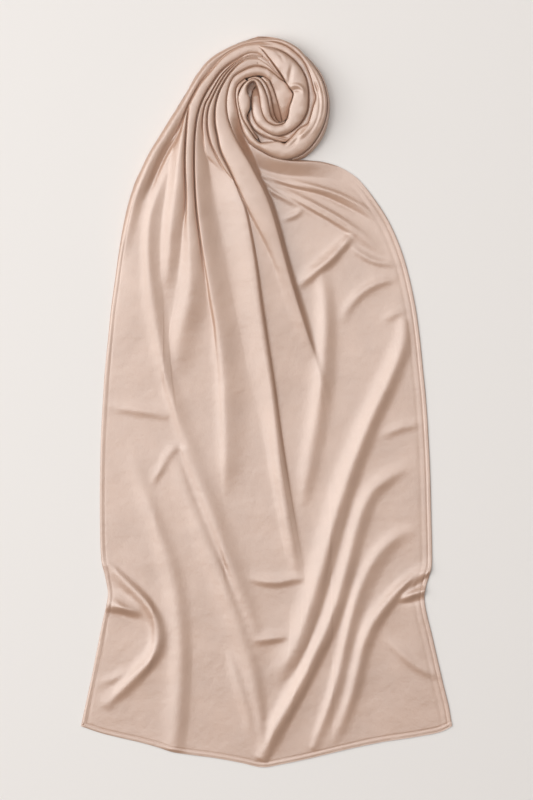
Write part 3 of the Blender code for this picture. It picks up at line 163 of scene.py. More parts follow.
# A fold that shows both its feet. Evenly spaced along it are given: how far its crest lies from the
# lit foot (0) to the shaded one (1), the powers of its two sides (under 1 stands up steeply, 1.5 or
# more runs out softly), and its heights over the cloth that it lies on.
Ridge = namedtuple("Ridge", "name crest lit_power shade_power heights lit_foot shade_foot")
RIDGES = [
    Ridge("edge_roll", (0.4, 0.3, 0.25, 0.25, 0.25, 0.4, 0.45, 0.45), (0.24, 0.24, 0.24, 0.4, 0.6), (0.6,
        1.0, 1.2, 1.4, 1.6), (7, 8, 9, 9, 9, 9, 9, 8, 6, 3, 0), [(258.2, 37.5), (240, 43.3), (222, 51.5),
        (207, 62), (197, 76), (181, 103), (163, 131), (145, 161), (131, 195), (123, 228), (117, 262)],
        CREASE_ROLL),
    Ridge("pleat_1", (0.4, 0.5, 0.5, 0.4, 0.45, 0.5), (0.4, 1.4, 1.8, 1.8), (0.35, 0.4, 0.45, 0.8, 1.3,
        1.6), (6, 9, 11, 11, 11, 11, 10, 9, 8, 6, 5, 3, 0), CREASE_PLEAT_1, CREASE_PLEAT_2[:8] +
        [(184, 225), (181, 250), (178, 270), (176, 290)]),
    Ridge("pleat_2", (0.42, 0.42, 0.35, 0.25, 0.2, 0.4, 0.45, 0.4, 0.35), (0.3, 0.3, 0.3, 0.3, 0.35, 1.3,
        1.8, 1.8, 1.8), (0.35, 0.35, 0.35, 0.35, 0.35, 0.5, 1.2, 1.6, 1.6), (7, 8, 10, 11, 11, 11, 11, 11,
        11, 10, 9, 8, 7, 5, 4, 0), CREASE_ROLL[:9] + CREASE_PLEAT_2, CREASE_PLEAT_3[:15] + [(197.5, 220),
        (201.5, 245), (205.5, 275), (206, 302), (201, 328), (194, 352), (189, 382)]),
    Ridge("pleat_3", (0.25, 0.15, 0.12, 0.12, 0.15, 0.25, 0.3, 0.35), (0.3, 0.3, 0.3, 0.3, 0.5, 1.6, 2.2,
        2.2), (0.5, 1.4, 1.6, 1.6), (0, 6, 9, 10, 11, 10.5, 9.5, 8.5, 7.5, 7, 6.5, 6, 4.5, 0),
        CREASE_PLEAT_3[6:19] + [(216, 370), (216, 415), (217, 455), (220, 497)], [(216, 85.5),
        (209.5, 97.5), (205.5, 105), (203.3, 115), (202.5, 126), (203.5, 140), (206, 155), (209, 175),
        (213, 198), (218, 222), (226, 257), (233, 294), (239, 330), (245, 370), (247, 415), (245, 455),
        (239, 497)]),
    Ridge("pleat_4", (0.35, 0.3, 0.3, 0.35), (0.25, 0.25, 0.3, 0.4), (0.35, 0.35, 0.4, 0.5), (8, 9, 10,
        10, 10, 10, 8, 6, 4, 2, 0), CREASE_PLEAT_4[:13] + [(213, 163), (222, 172), (232, 182)],
        CREASE_PLEAT_5),
    Ridge("pleat_5", (0.35, 0.3, 0.25, 0.3), (0.25, 0.25, 0.3, 0.3), (0.35, 0.35, 0.4, 0.5), (8, 9, 10,
        10, 11, 11, 11, 10, 8, 6, 3), CREASE_PLEAT_5, CREASE_BAND[:14] + [(234, 181)]),
    Ridge("centre_fold", (0.95, 0.93, 0.9, 0.84, 0.78, 0.6, 0.5, 0.5), (2.2,), (0.5, 0.5, 0.5, 0.6, 1.0,
        1.4), (0, 7.5, 8.5, 9.5, 9.5, 9, 9, 8.5, 8, 7, 5, 0), [(207, 150)] + CREASE_PLEAT_4[14:],
        [(229, 170)] + CREASE_BAND[14:]),
    Ridge("diagonal_band", (0.35, 0.35, 0.35, 0.4, 0.55, 0.75, 0.85, 0.85), (0.22, 0.22, 0.22, 0.3, 0.5,
        1.2, 1.5), (0.2,), (8, 9, 10, 10, 10, 9, 9, 9, 8.5, 8.5, 8, 8, 7.5, 7, 6, 5.5, 5, 3.5, 1),
        CREASE_BAND[:15] + [(239, 190.5), (246, 206), (256, 226), (267, 248), (276, 270), (285, 296),
        (295, 324), (308, 355)], CREASE_INNER_TURN[5:]),
    Ridge("shoulder_roll", (0.92,), (1.3,), (0.5,), (10, 11, 12, 12, 12, 11, 9, 6, 3, 0), [(239, 143),
        (245, 155), (252, 163), (266, 171), (290, 176), (318, 178), (342, 181)], [(247, 140),
        (253.5, 146), (262, 151), (273, 156.6), (292, 160.3), (318, 161.4), (338, 166.5)]),
    Ridge("shoulder_fold_1", (0.72,), (1.5,), (1.5,), (0, 2.5, 3.4, 3.8, 4.2, 4.2, 3.4), [(381, 216),
        (366, 199), (346, 186), (321, 178), (296, 175), (272, 172), (253, 167)], [(380, 229), (366, 217),
        (347, 205.5), (324, 196.5), (299, 190.5), (274, 183.5), (257, 175)]),
    Ridge("shoulder_fold_2", (0.72,), (1.5,), (1.5,), (0, 3, 3.8, 4.2, 4.7, 4.7, 3.4), [(384, 243),
        (368, 227), (348, 213), (325, 201.5), (299, 192.5), (274, 184.5), (257, 175)], [(386, 257),
        (368, 247), (345, 232.5), (321, 219), (298, 207), (276, 196.5), (264, 188)]),
    Ridge("left_fold", (0.36,), (2.2,), (1.7,), (0, 3, 5.1, 6.4, 6.8, 6.8, 6.4, 6, 5.1, 4.2, 2.1),
        [(171, 160), (156, 186), (145, 212), (141, 240), (142, 275), (146, 312), (152, 347), (159, 380),
        (168, 412), (178, 442), (190, 472)], [(178, 162), (168, 192), (162, 218), (160, 245), (161, 280),
        (166, 315), (172, 350), (179, 381), (189, 412), (201, 445), (214, 480)]),
    Ridge("left_fold_lower", (0.22,), (0.5,), (1.8,), (3, 5.1, 6.8, 7.2, 7.2, 6.8, 5.5, 4.2, 0),
        [(180, 450), (192, 478), (203, 508), (212, 532), (221, 555), (231, 580), (241, 605), (251, 634),
        (259, 665)], [(198, 440), (210, 468), (222, 497), (234, 525), (244, 553), (252, 581), (258, 608),
        (263, 636), (266, 667)]),
    Ridge("left_valley_fold", (0.66,), (2.2,), (0.6,), (0, 2.5, 4.2, 5.1, 5.5, 6, 6, 6, 5.5, 4.7, 2.5),
        [(160, 458), (170, 493), (183, 525), (195, 555), (206, 585), (217, 614), (228, 644), (238, 676),
        (247, 707), (253, 732), (256, 757)], [(176, 452), (189, 483), (201, 511), (211, 535), (220, 558),
        (230, 583), (240, 608), (250, 638), (259, 672), (264, 706), (266, 750)]),
    Ridge("left_hem_fold", (0.55,), (2.2,), (1.6,), (0, 2.5, 4.7, 6, 6.4, 6.4, 6, 5.1, 3.8), [(117, 448),
        (128, 485), (142, 525), (154, 560), (162, 592), (166, 625), (167, 662), (165, 702), (162, 746)],
        [(141, 448), (155, 490), (169, 530), (180, 566), (187, 602), (190, 640), (190, 678), (188, 715),
        (184, 752)]),
    Ridge("middle_right_fold", (0.5,), (2.2,), (1.3, 1.3, 1.5), (0, 4.2, 6.4, 6.8, 6.8, 6, 5.5, 5.1, 4.2,
        0), [(312, 262), (314, 285), (315, 320), (313, 350), (310, 380), (306, 412), (301, 442),
        (297, 472), (297, 504)], [(325, 262), (332, 285), (335, 320), (335, 350), (333, 382), (328, 417),
        (322, 450), (314, 485), (304, 513)]),
    Ridge("right_fold", (0.63,), (2.3,), (1.5, 1.3, 0.9, 0.9), (2.5, 6.8, 8.1, 8.5, 8.5, 8.5, 8.5, 8.5,
        8.1, 8.1, 7.6, 6.8, 5.1, 0), [(397, 320), (389, 345), (378, 370), (366, 395), (354, 420),
        (344, 443), (333, 472), (322, 505), (311, 540), (301, 575), (292, 605), (282, 632), (272, 655),
        (262, 677)], [(408, 318), (410, 345), (402, 372), (391, 397), (380, 421), (371, 444), (361, 470),
        (352, 497), (343, 528), (334, 562), (324, 598), (312, 635), (298, 664), (279, 687)]),
    Ridge("right_hem_fold", (0.57,), (2.3,), (1.5, 1.2, 0.9, 0.9), (0, 4.2, 5.5, 6, 6.8, 7.2, 7.6, 8.1,
        8.5, 8.5, 8.5, 8.1, 7.2, 3.4), [(411, 458), (388, 466), (367, 480), (353, 501), (345, 526),
        (338, 553), (331, 580), (322, 607), (311, 634), (299, 661), (286, 686), (273, 709), (262, 731),
        (253, 756)], [(413, 471), (394, 483), (378, 498), (369, 519), (361, 546), (353, 575), (345, 603),
        (335, 631), (323, 656), (311, 681), (297, 707), (284, 730), (275, 747), (266, 763)]),
    Ridge("right_hem_fold_2", (0.4,), (2.2,), (1.6,), (0, 3.8, 4.7, 5.1, 6, 6.4, 6.4, 6, 5.1, 3.8, 1.7),
        [(419, 523), (398, 527), (381, 538), (366, 556), (355, 578), (347, 602), (341, 629), (335, 657),
        (327, 690), (318, 720), (309, 748)], [(419, 537), (402, 546), (389, 560), (377, 580), (367, 603),
        (358, 630), (352, 656), (346, 681), (338, 705), (328, 728), (318, 748)]),
    Ridge("right_hem_fold_3", (0.6,), (2.2,), (0.9, 1.3, 1.5), (4.7, 6.4, 6.8, 6.8, 6.8, 6.4, 6, 5.1, 3.4,
        0), [(430, 556), (411, 569), (393, 584), (376, 601), (362, 620), (353, 643), (347, 668),
        (341, 695), (333, 721), (327, 742)], [(421, 580), (405, 592), (392, 607), (380, 625), (371, 645),
        (365, 668), (360, 690), (352, 713), (343, 734), (334, 746)]),
]

# A shorter fold or wrinkle, by its crest. Its lit side is on the right hand of one who walks its path.
Wrinkle = namedtuple("Wrinkle", "name height lit_width shade_width path")
WRINKLES = [
    Wrinkle("left_loop", 11, 20, 12, [(108, 564), (128, 583), (147, 603), (157, 621), (159, 641),
        (152, 659), (138, 675), (122, 691), (108, 704)]),
    Wrinkle("left_notch", 7, 30, 9, [(141, 613), (128, 609), (114, 605), (102, 603)]),
    Wrinkle("left_cross_wrinkle", 3.5, 18, 10, [(172, 417), (150, 413), (130, 410), (110, 407)]),
    Wrinkle("left_short_fold", 6, 16, 9, [(178, 445), (168, 457), (160, 470), (152, 483)]),
    Wrinkle("left_corner_wrinkle", 3, 10, 8, [(128, 671), (113, 679), (101, 683)]),
    Wrinkle("hem_middle_fold", 5, 12, 13, [(230, 655), (239, 686), (247, 712), (255, 742)]),
    Wrinkle("centre_wrinkle_1", 4, 20, 8, [(307, 579), (294, 580), (278, 583), (262, 582), (246, 577)]),
    Wrinkle("centre_wrinkle_2", 5, 20, 8, [(290, 638), (273, 639), (259, 641), (250, 635)]),
    Wrinkle("centre_wrinkle_3", 5, 14, 8, [(282, 712), (272, 727), (260, 726)]),
    Wrinkle("right_cross_fold", 7, 22, 10, [(353, 238), (344, 246), (334, 256), (322, 267), (308, 279),
        (297, 287)]),
    Wrinkle("right_wrinkle_1", 3, 12, 10, [(394, 264), (376, 262), (360, 254), (349, 244)]),
    Wrinkle("right_wrinkle_2", 4.5, 14, 10, [(394, 279), (377, 284), (362, 293), (350, 306), (343, 320)]),
    Wrinkle("right_wrinkle_3", 3, 9, 7, [(405, 311), (393, 315), (384, 320)]),
    Wrinkle("right_notch", 8, 16, 8, [(432, 590), (416, 594), (400, 600)]),
    Wrinkle("right_corner_wrinkle", 3.5, 16, 9, [(440, 677), (421, 670), (404, 657), (387, 640)]),
    Wrinkle("right_cross_wrinkle", 3, 14, 9, [(420, 424), (401, 428), (382, 436)]),
    Wrinkle("neck_wrinkle", 3, 9, 9, [(303, 207), (295, 215), (284, 219)]),
]

# A wound stretch: matching places on its outer and inner side, its height at each, how far its two
# sides drop below the crest, and where the crest lies from outer (0) to inner (1).
Band = namedtuple("Band", "name outer inner heights outer_drop inner_drop crest")
BANDS = [
    Band("turn_outer", [(307, 57), (314, 64.5), (321, 73.5), (326, 85), (329, 97), (329.6, 108),
        (328.6, 119), (326, 130.5), (321, 141), (313.5, 150.5), (304.5, 158), (294, 161)],
        CREASE_OUTER[5:17], (20, 22, 23, 24, 25, 25, 24, 23, 21, 19, 15, 9), 17, 6, 0.6),
    Band("turn_wide", CREASE_OUTER, CREASE_INNER, (26, 28, 29, 30, 30, 30, 31, 32, 33, 34, 35, 35, 34, 33,
        33, 33, 33, 33, 33, 32, 32, 32, 32, 32, 32, 32, 31, 30, 29), 11, 6, 0.55),
    Band("turn_narrow", CREASE_INNER[:15] + CREASE_NARROW, CREASE_FLAP[:22], (24, 26, 27, 27, 27, 27, 27,
        27, 26, 25, 24, 24, 24, 24, 24, 24, 25, 27, 27, 26, 24, 21), 5, 6, 0.5),
    Band("flap", CREASE_FLAP, FLAP_EDGE, (33, 34, 35, 36, 37, 37, 37, 37, 37, 37, 36, 36, 35, 35, 34, 34,
        34, 34, 33, 33, 32, 31, 29, 26, 20, 13), 9, 5, 0.55),
    Band("pleat_ends", [(258.6, 48), (264, 53.3), (268.5, 58.6), (273, 64.2), (277.5, 70.2),
        (281.6, 76.2), (284.2, 80.6)], [(258.4, 67.5), (262, 68), (266, 69.3), (270, 71.7), (274.5, 75),
        (279, 79), (283.6, 81.9)], (29, 30, 30, 30, 29, 27, 24), 16, 6, 0.62),
    Band("turn_inner", CREASE_INNER_TURN[14:4:-1] + [(266, 69.3), (270, 71.7), (274.5, 75), (279.5, 79.6),
        (285.6, 83.8), (289.5, 89.4), (292.7, 94.8), (291.4, 101.3), (289.5, 107.3), (288.5, 113),
        (286.8, 119)], CREASE_OUTER[21:] + [(251, 77.8)] + CREASE_HEART_2, (31, 32, 32, 31, 31, 31, 30,
        30, 30, 30, 29, 29, 28, 28, 27, 26, 25, 23, 20, 16, 12), 4, 11, 0.4),
    Band("heart_loop", CREASE_LOOP, [(258, 138.6), (254, 132.5), (249.6, 124.5), (246.8, 117.4),
        (249.8, 109.5), (249.9, 99.5), (247.4, 94), (247, 89), (248.8, 85.3), (251.8, 82.9),
        (254.8, 83.2), (256.8, 87), (258.2, 91.5), (259.3, 97), (260.1, 102.5), (261, 109), (263, 116),
        (266.5, 121.9), (271, 125.2), (277, 126.3), (283.6, 124.6)], (24, 28, 31, 33, 35, 36, 37, 37, 37,
        37, 37, 37, 36, 36, 35, 34, 33, 32, 31, 31, 30), 7, 7, 0.5),
    Band("heart_hollow", [(249.9, 108.2), (249.9, 99.5), (247.4, 94), (247, 89), (248.8, 85.3),
        (251.8, 82.9), (254.8, 83.2)], [(251.8, 107.6), (251.5, 103), (251.7, 97), (252.6, 91.6),
        (254.4, 88.2), (255.8, 87), (256.8, 86.6)], (14, 12, 11, 12, 14, 16, 18), 2, 2, 0.5),
    Band("heart_fold_1", CREASE_HEART_1, [(248.4, 81.8), (252, 80), (256.5, 80.7), (260.3, 84),
        (263.6, 89.5), (266.2, 96), (268, 103), (269, 109), (270.2, 114.4), (272, 118.8), (274.6, 121.8),
        (277.5, 123.4)], (26, 27, 28, 30, 31, 31, 30, 28, 24, 19, 16, 14), 6, 6, 0.5),
    Band("heart_fold_2", CREASE_HEART_2[1:], [(260.6, 78.9), (263, 80.9), (264.8, 83), (266.4, 85.4),
        (268.9, 91.5), (270.8, 98.5), (272, 105), (273, 111), (274.4, 116.2), (276.6, 120.4),
        (279, 122.4)], (27, 29, 31, 30, 28, 25, 22, 17, 12, 8, 6), 6, 7, 0.45),
    Band("tuck", [(246.9, 117.4), (249.6, 124.5), (254, 132.5), (258, 138.6), (261.5, 143.5), (269, 143),
        (277, 142.4)], [(247.9, 117), (250, 123.6), (254.9, 130.8), (259.5, 134), (264.5, 136.6),
        (270.5, 139.3), (277.4, 142)], (20, 19, 17, 15, 14, 15, 18), 3, 3, 0.5),
]

# The gathers' outer side, matched place for place with the crease on their inner side
GATHER_SIDE = [
    (258, 37.5), (247, 41), (236, 44.8), (215, 56), (199, 72), (186, 94), (175.5, 111), (166, 126),
    (157.5, 140), (149, 154), (142, 168.5), (136.5, 180), (133.4, 188), (130.3, 198),
]
GATHER_FOOT_Y = 198.0
LEFT_SIDE = GATHER_SIDE + [p for p in LEFT_EDGE if p[1] > GATHER_FOOT_Y]
SHOULDER_TOP = [
    (242, 149), (247.5, 141.5), (254.5, 145.5), (263, 150), (272, 154), (281, 157), (291, 158.5),
    (300, 160.8),
]

# The mesh's columns follow the creases and run on down to the hem; each has so many columns before it
Guide = namedtuple("Guide", "columns line")
GUIDES = [
    Guide(14, CREASE_ROLL + [(124, 300), (121, 340), (119, 380), (117, 430), (117, 500), (118, 560),
        (120, 600), (118, 650), (112, 700), (108, 760)]),
    Guide(20, CREASE_PLEAT_1 + [(164, 330), (163, 380), (160, 430), (157, 500), (155, 560), (153, 620),
        (150, 680), (146, 760)]),
    Guide(16, CREASE_PLEAT_2 + [(178, 420), (184, 470), (190, 520), (193, 580), (192, 640), (188, 700),
        (184, 770)]),
    Guide(18, CREASE_PLEAT_3 + [(224, 540), (225, 580), (226, 620), (225, 680), (223, 770)]),
    Guide(26, CREASE_PLEAT_4 + [(288, 640), (272, 700), (262, 790)]),
    Guide(12, CREASE_PLEAT_5 + [(236.5, 190), (238, 200), (241, 222), (247, 257), (254, 300), (261, 340),
        (268, 380), (274.6, 420), (280.6, 460), (287, 500), (296, 550), (302, 582), (299, 640),
        (290, 700), (283, 790)]),
    Guide(14, CREASE_BAND + [(309, 640), (305, 700), (302, 790)]),
    Guide(24, CREASE_INNER_TURN[5:] + [(322, 390), (327, 430), (330, 480), (331, 540), (332, 600),
        (333, 660), (334, 726), (334, 790)]),
]
RIGHT_COLUMNS = 54  # columns between the last guide and the right hem
# The columns of the right hem, and the rows of the lower one, by their distance from the edge
HEM_COLUMNS = (12.5, 11, 9.8, 8.6, 7, 5.8, 5, 4.4, 3.9, 3.3, 2.5, 1.6, 0.8, 0.3, 0.0)
HEM_ROWS = (8.4, 7.6, 6.8, 6.0, 5.3, 4.6, 3.9, 3.2, 2.5, 1.8, 1.1, 0.5, 0.0)
LEAST_COLUMN = 0.12  # where creases run together their columns stay this far apart, in plan units
CREASE_CROWD = 0.55  # how much more closely columns lie beside a crease than between two

# Looser marks on the cloth: how high each stands, or how deep it lies, its width on the left and on
# the right of one who walks its path, and the path. `piece` is the stretch that it lies on.
Mark = namedtuple("Mark", "piece height left_width right_width path")
MARKS = [
    Mark("cloth", -6.0, 3.0, 2.0, CREASE_ROLL[4:11]),
    Mark("cloth", -6.0, 7.0, 11.0, [(184, 122), (176, 138), (166, 155), (156, 177), (147, 199)]),
    Mark("cloth", -9.0, 2.6, 1.6, CREASE_PLEAT_2[:9]),
    Mark("cloth", -9.0, 2.6, 1.6, CREASE_PLEAT_3[2:18]),
    Mark("cloth", -8.0, 2.2, 1.6, CREASE_PLEAT_4[2:12]),
    Mark("cloth", -7.0, 2.0, 1.6, CREASE_PLEAT_5[2:]),
    Mark("cloth", -9.0, 2.4, 1.6, CREASE_BAND[2:16]),
    Mark("cloth", 2.0, 7, 6, [(290, 180.5), (304, 184), (320, 188.5), (340, 195.5), (360, 205.5),
        (375, 215.5)]),
    Mark("cloth", -2.6, 3, 6, [(259, 172), (266, 176.5), (273.5, 180.5), (290, 187), (305, 190.5),
        (322, 195), (341, 203.5), (360, 213.5), (374, 221)]),
    Mark("cloth", 2.0, 7, 6, [(284, 189), (305, 199.5), (322, 208.5), (341, 219.5), (357, 230),
        (367, 236)]),
    Mark("cloth", -2.6, 3, 6, [(263, 180.5), (277.5, 191), (298, 203), (312, 211.5), (330, 222),
        (346, 232), (360, 239)]),
    Mark("cloth", 2.2, 12, 9, [(353, 233), (347, 239), (342, 247)]),
    Mark("cloth", 1.6, 10, 8, [(339, 250), (335, 258), (328, 265), (320, 270)]),
    Mark("cloth", 4.5, 10, 6, [(101, 608), (113, 609), (126, 611), (140, 617)]),
    Mark("cloth", 1.5, 9, 9, [(112, 600), (119, 605), (127, 609)]),
    Mark("cloth", -2.2, 5, 5, [(397, 601), (404, 591), (413, 580), (420, 570)]),
    Mark("cloth", -2.0, 5, 5, [(397, 603), (410, 602.5), (424, 600)]),
    Mark("cloth", -2.6, 9, 15, [(175, 449), (167, 458), (159, 470), (152, 482)]),
    Mark("cloth", -1.4, 9.0, 5.0, [(343, 500), (338, 522), (333, 548), (326, 580), (321, 602)]),
    Mark("flap", -2.2, 7, 6, [(291.5, 66), (290.5, 73), (289.3, 81), (288.8, 87)]),
    Mark("flap", 2.4, 6, 6, [(289.5, 89.5), (293.5, 86.5), (299, 87.5), (303, 91.5), (303.5, 98)]),
    Mark("flap", -1.8, 5, 5, [(292.5, 92.5), (296, 91.2), (300, 92)]),
    Mark("flap", -1.0, 6, 6, [(275, 52.5), (281, 58), (284, 65)]),
    Mark("turn_wide", -1.3, 4, 4, [(299, 58), (307, 67.5), (313, 79), (317.5, 91), (319.5, 104),
        (318, 117), (313, 129), (304, 139.5)]),
    Mark("turn_wide", -1.0, 4, 4, [(304, 59), (312, 69), (318.5, 81), (322.5, 94), (323.5, 106),
        (321.5, 119), (316, 131.5)]),
    Mark("turn_wide", -2.0, 4, 4, [(314, 83), (316.8, 88.5), (317.5, 93)]),
    Mark("turn_wide", 2.2, 8, 8, [(311, 123), (307, 131), (299, 137.5), (291, 143)]),
    Mark("turn_wide", -1.8, 6, 6, [(302, 130), (298.5, 137), (293, 145), (286, 151)]),
    Mark("turn_wide", -1.4, 3, 3, [(262, 43.4), (270, 43.6), (279, 45.2), (288, 49.2)]),
    Mark("pleat_ends", -3.0, 2.2, 2.2, [(254, 54.4), (260, 54.9), (267, 57.5)]),
    Mark("pleat_ends", -2.6, 2.0, 2.0, [(254, 57.8), (261, 58.4), (271, 64)]),
    Mark("pleat_ends", -2.6, 2.0, 2.0, [(254, 59.8), (262, 61.8), (273, 70), (279, 76)]),
    Mark("turn_narrow", 1.4, 3, 3, [(300, 133), (291, 139.5), (281, 138.5), (270, 134.8), (262, 130)]),
]


def place(points):
    """Plan units to metres in the frame."""
    points = np.asarray(points, float)
    return np.stack([(points[..., 0] - MIDDLE_X) * UNIT, (MIDDLE_Y - points[..., 1]) * UNIT], -1)


def spline(points, at):
    """A smooth curve through the points, read at places counted in points from the first."""
    points = np.asarray(points, float)
    ends = np.vstack([2 * points[0] - points[1], points, 2 * points[-1] - points[-2]])
    at = np.clip(np.asarray(at, float), 0, len(points) - 1)
    i = np.minimum(at.astype(int), len(points) - 2)
    t = (at - i)[:, None]
    a, b, c, d = (ends[i + k] for k in range(4))
    return 0.5 * (2 * b + (c - a) * t + (2 * a - 5 * b + 4 * c - d) * t**2 + (3 * b - a - 3 * c + d) * t**3)


FINE_STEPS = 24  # points of a smooth curve for each one that it is drawn through


def fine(points):
    """A smooth curve through plan points as many close ones."""
    return spline(points, np.linspace(0, len(points) - 1, FINE_STEPS * len(points)))


def run_of(line):
    """How far along a line each of its points lies."""
    return np.concatenate([[0], np.cumsum(np.linalg.norm(np.diff(line, axis=0), axis=1))])


def share_of(line, shares):
    """Points at these shares of a line's length."""
    run = run_of(line)
    at = np.asarray(shares) * run[-1]
    return np.stack([np.interp(at, run, line[:, k]) for k in range(line.shape[1])], -1)


def even(points, step):
    """A smooth curve through plan points as evenly spaced points in metres, step millimetres apart."""
    line = place(fine(points))
    count = max(3, int(round(run_of(line)[-1] / (step * MM))) + 1)
    return share_of(line, np.linspace(0, 1, count))


def smooth(t):
    """0 to 1 with no corner at either end."""
    t = np.clip(t, 0, 1)
    return t * t * (3 - 2 * t)


def nearest(points, line):
    """For each point: its distance to the line, the side it is on, the share along, and whether it lies
    past an end."""
    a, d = line[:-1], np.diff(line, axis=0)
    length = np.linalg.norm(d, axis=1)
    run = np.concatenate([[0], np.cumsum(length)])
    rel = points[:, None, :] - a[None]
    t = (rel * d).sum(-1) / length**2
    clipped = np.clip(t, 0, 1)
    away = rel - clipped[..., None] * d
    dist = np.sqrt((away**2).sum(-1))
    j = dist.argmin(1)
    pick = np.arange(len(points)), j
    side = np.sign(d[j, 0] * rel[pick][:, 1] - d[j, 1] * rel[pick][:, 0])
    along = (run[j] + clipped[pick] * length[j]) / run[-1]
    past = ((j == 0) & (t[pick] < 0)) | ((j == len(d) - 1) & (t[pick] > 1))
    return dist[pick], side, along, past


def near_box(points, lines, margin):
    """Which points lie within margin of the lines' box."""
    corners = np.vstack(lines)
    low, high = corners.min(0) - margin, corners.max(0) + margin
    return np.where(((points >= low) & (points <= high)).all(1))[0]


CREST_ROUND = 0.16  # how much of a soft side its rounded crest takes up
ROLL_POWER, SOFT_RANGE = 0.7, 0.6  # a side up to this power is a roll, and over this range it turns soft
# How far apart the points of a line are that heights are measured from, in millimetres
OUTLINE_STEP, FOLD_STEP, PATH_STEP = 8, 6, 4


def side_form(t, power):
    """A fold's side: 1 at its crest, where t is 0, and 0 at its foot, where t is 1.

    A power well under 1 gives a roll, which stands up steeply from its foot; one well over 1 gives a
    soft side, which steepens towards a narrow crest.
    """
    t = np.clip(t, 0, 1)
    soft = (np.hypot(t, CREST_ROUND) - CREST_ROUND) / (math.hypot(1, CREST_ROUND) - CREST_ROUND)
    rolled = 1 - softness(power)
    return rolled * (1 - t**2) ** np.minimum(power, 1) + (1 - rolled) * (1 - soft) ** np.maximum(power, 1)


def softness(power):
    """0 where a side of this power is a roll, 1 where it is soft."""
    return np.clip((power - ROLL_POWER) / SOFT_RANGE, 0, 1)


SOFT_SPREAD = 5.0  # a soft side runs out this far past its foot, in millimetres
ROLL_EDGE = 0.2  # and a roll's stands this far outside it


def along_fold(along, values):
    """What evenly spaced values come to at these shares of a fold's run."""
    return np.interp(along, np.linspace(0, 1, len(values)), values)


def ridge_height(points, ridge):
    """A fold's height over the cloth that it lies on, in millimetres, at each point."""
    lit_line, shade_line = even(ridge.lit_foot, FOLD_STEP), even(ridge.shade_foot, FOLD_STEP)
    height = np.zeros(len(points))
    inside = near_box(points, (lit_line, shade_line), SOFT_SPREAD * MM)
    if not len(inside):
        return height
    lit_dist, lit_side, lit_along, lit_past = nearest(points[inside], lit_line)
    shade_dist, shade_side, shade_along, shade_past = nearest(points[inside], shade_line)
    from_lit, from_shade = lit_dist * lit_side, -shade_dist * shade_side
    width = np.maximum(from_lit + from_shade, TINY)
    across = np.clip(from_lit / width, 0, 1)
    along = (1 - across) * lit_along + across * shade_along
    lit_power, shade_power = along_fold(along, ridge.lit_power), along_fold(along, ridge.shade_power)
    middle = width * along_fold(along, ridge.crest)
    lit_width = middle + (ROLL_EDGE + (SOFT_SPREAD - ROLL_EDGE) * softness(lit_power)) * MM
    shade_width = width - middle + (ROLL_EDGE + (SOFT_SPREAD - ROLL_EDGE) * softness(shade_power)) * MM
    lit = from_lit < middle
    t = np.where(lit, (middle - from_lit) / lit_width, (from_lit - middle) / shade_width)
    form = side_form(t, np.where(lit, lit_power, shade_power))
    crest = along_fold(along, ridge.heights)
    within = (t < 1) & ((lit_side > 0) | (shade_side < 0)) & ~(lit_past & shade_past)
    height[inside] = np.where(within, crest * form, 0)
    return height


LINE_ENDS = (0.03, 0.97)  # a line's height dies out towards these shares of its run
WRINKLE_POWER, WRINKLE_END = 1.6, 0.6  # a wrinkle's sides, and how fast it dies out at its ends
MARK_POWER, MARK_END = 1.5, 0.8  # the same of a looser mark


def line_height(points, path, height, left_width, right_width, power, end_power):
    """The height in millimetres, at each point, of a ridge or trough that dies out at both ends."""
    line = even(path, PATH_STEP)
    total = np.zeros(len(points))
    inside = near_box(points, (line,), max(left_width, right_width) * MM)
    if not len(inside):
        return total
    dist, side, along, _ = nearest(points[inside], line)
    width = np.where(side > 0, left_width, right_width) * MM
    crest = height * np.sin(math.pi * np.clip(along, *LINE_ENDS)) ** end_power
    total[inside] = crest * side_form(np.minimum(dist / width, 1), power)
    return total


LAYERS_HEIGHT = 20.0  # the gathered layers' height beside the rosette
LAYERS_MIDDLE = (272, 100)
LAYERS_NEAR, LAYERS_FAR = 50.0, 330.0  # they thin out between these distances from the middle
LAYERS_LEFT, LAYERS_RIGHT = 0.8, 1.2  # and so much sooner to the left and the right
LEFT_ROUND, LEFT_ROUND_GROWS = 3.2, 0.13  # their left side's round edge, and how fast it widens
LEFT_FULL = 0.2  # how full that edge is: the lower this power, the steeper its foot
RIGHT_ROUND = 45.0  # their right side slopes down over this distance
# Right of the long crease they drop over the first distance at the shoulder, and the second below it
CREASE_DROP = (10.0, 4.5)
CREASE_DROP_FROM, CREASE_DROP_TO = 150.0, 185.0  # heights in the plan
CREASE_DROP_EARLY = 2.0  # the drop starts so far left of the crease


def layers_height(points):
    """How high the hidden layers hold up the cloth, in millimetres, at each point."""
    across, down = ((points - place(LAYERS_MIDDLE)) / UNIT).T
    away = np.hypot(np.where(across > 0, LAYERS_RIGHT, LAYERS_LEFT) * across, down)
    left = nearest(points, even(LEFT_EDGE, OUTLINE_STEP))[0] / UNIT
    right = nearest(points, even(RIGHT_EDGE, OUTLINE_STEP))[0] / UNIT
    left_width = LEFT_ROUND + LEFT_ROUND_GROWS * np.maximum(away - LAYERS_NEAR, 0)
    rounded = (1 - (1 - np.clip(left / left_width, 0, 1)) ** 2) ** LEFT_FULL
    sloped = smooth(right / RIGHT_ROUND)
    dist, side, _, _ = nearest(points, even(CREASE_INNER_TURN, OUTLINE_STEP))
    lower = smooth((MIDDLE_Y - points[:, 1] / UNIT - CREASE_DROP_FROM) / (CREASE_DROP_TO - CREASE_DROP_FROM))
    drop = CREASE_DROP[0] * (1 - lower) + CREASE_DROP[1] * lower
    sloped *= 1 - smooth((dist * side / UNIT + CREASE_DROP_EARLY) / drop)
    return LAYERS_HEIGHT * (1 - smooth((away - LAYERS_NEAR) / (LAYERS_FAR - LAYERS_NEAR))) * rounded * sloped


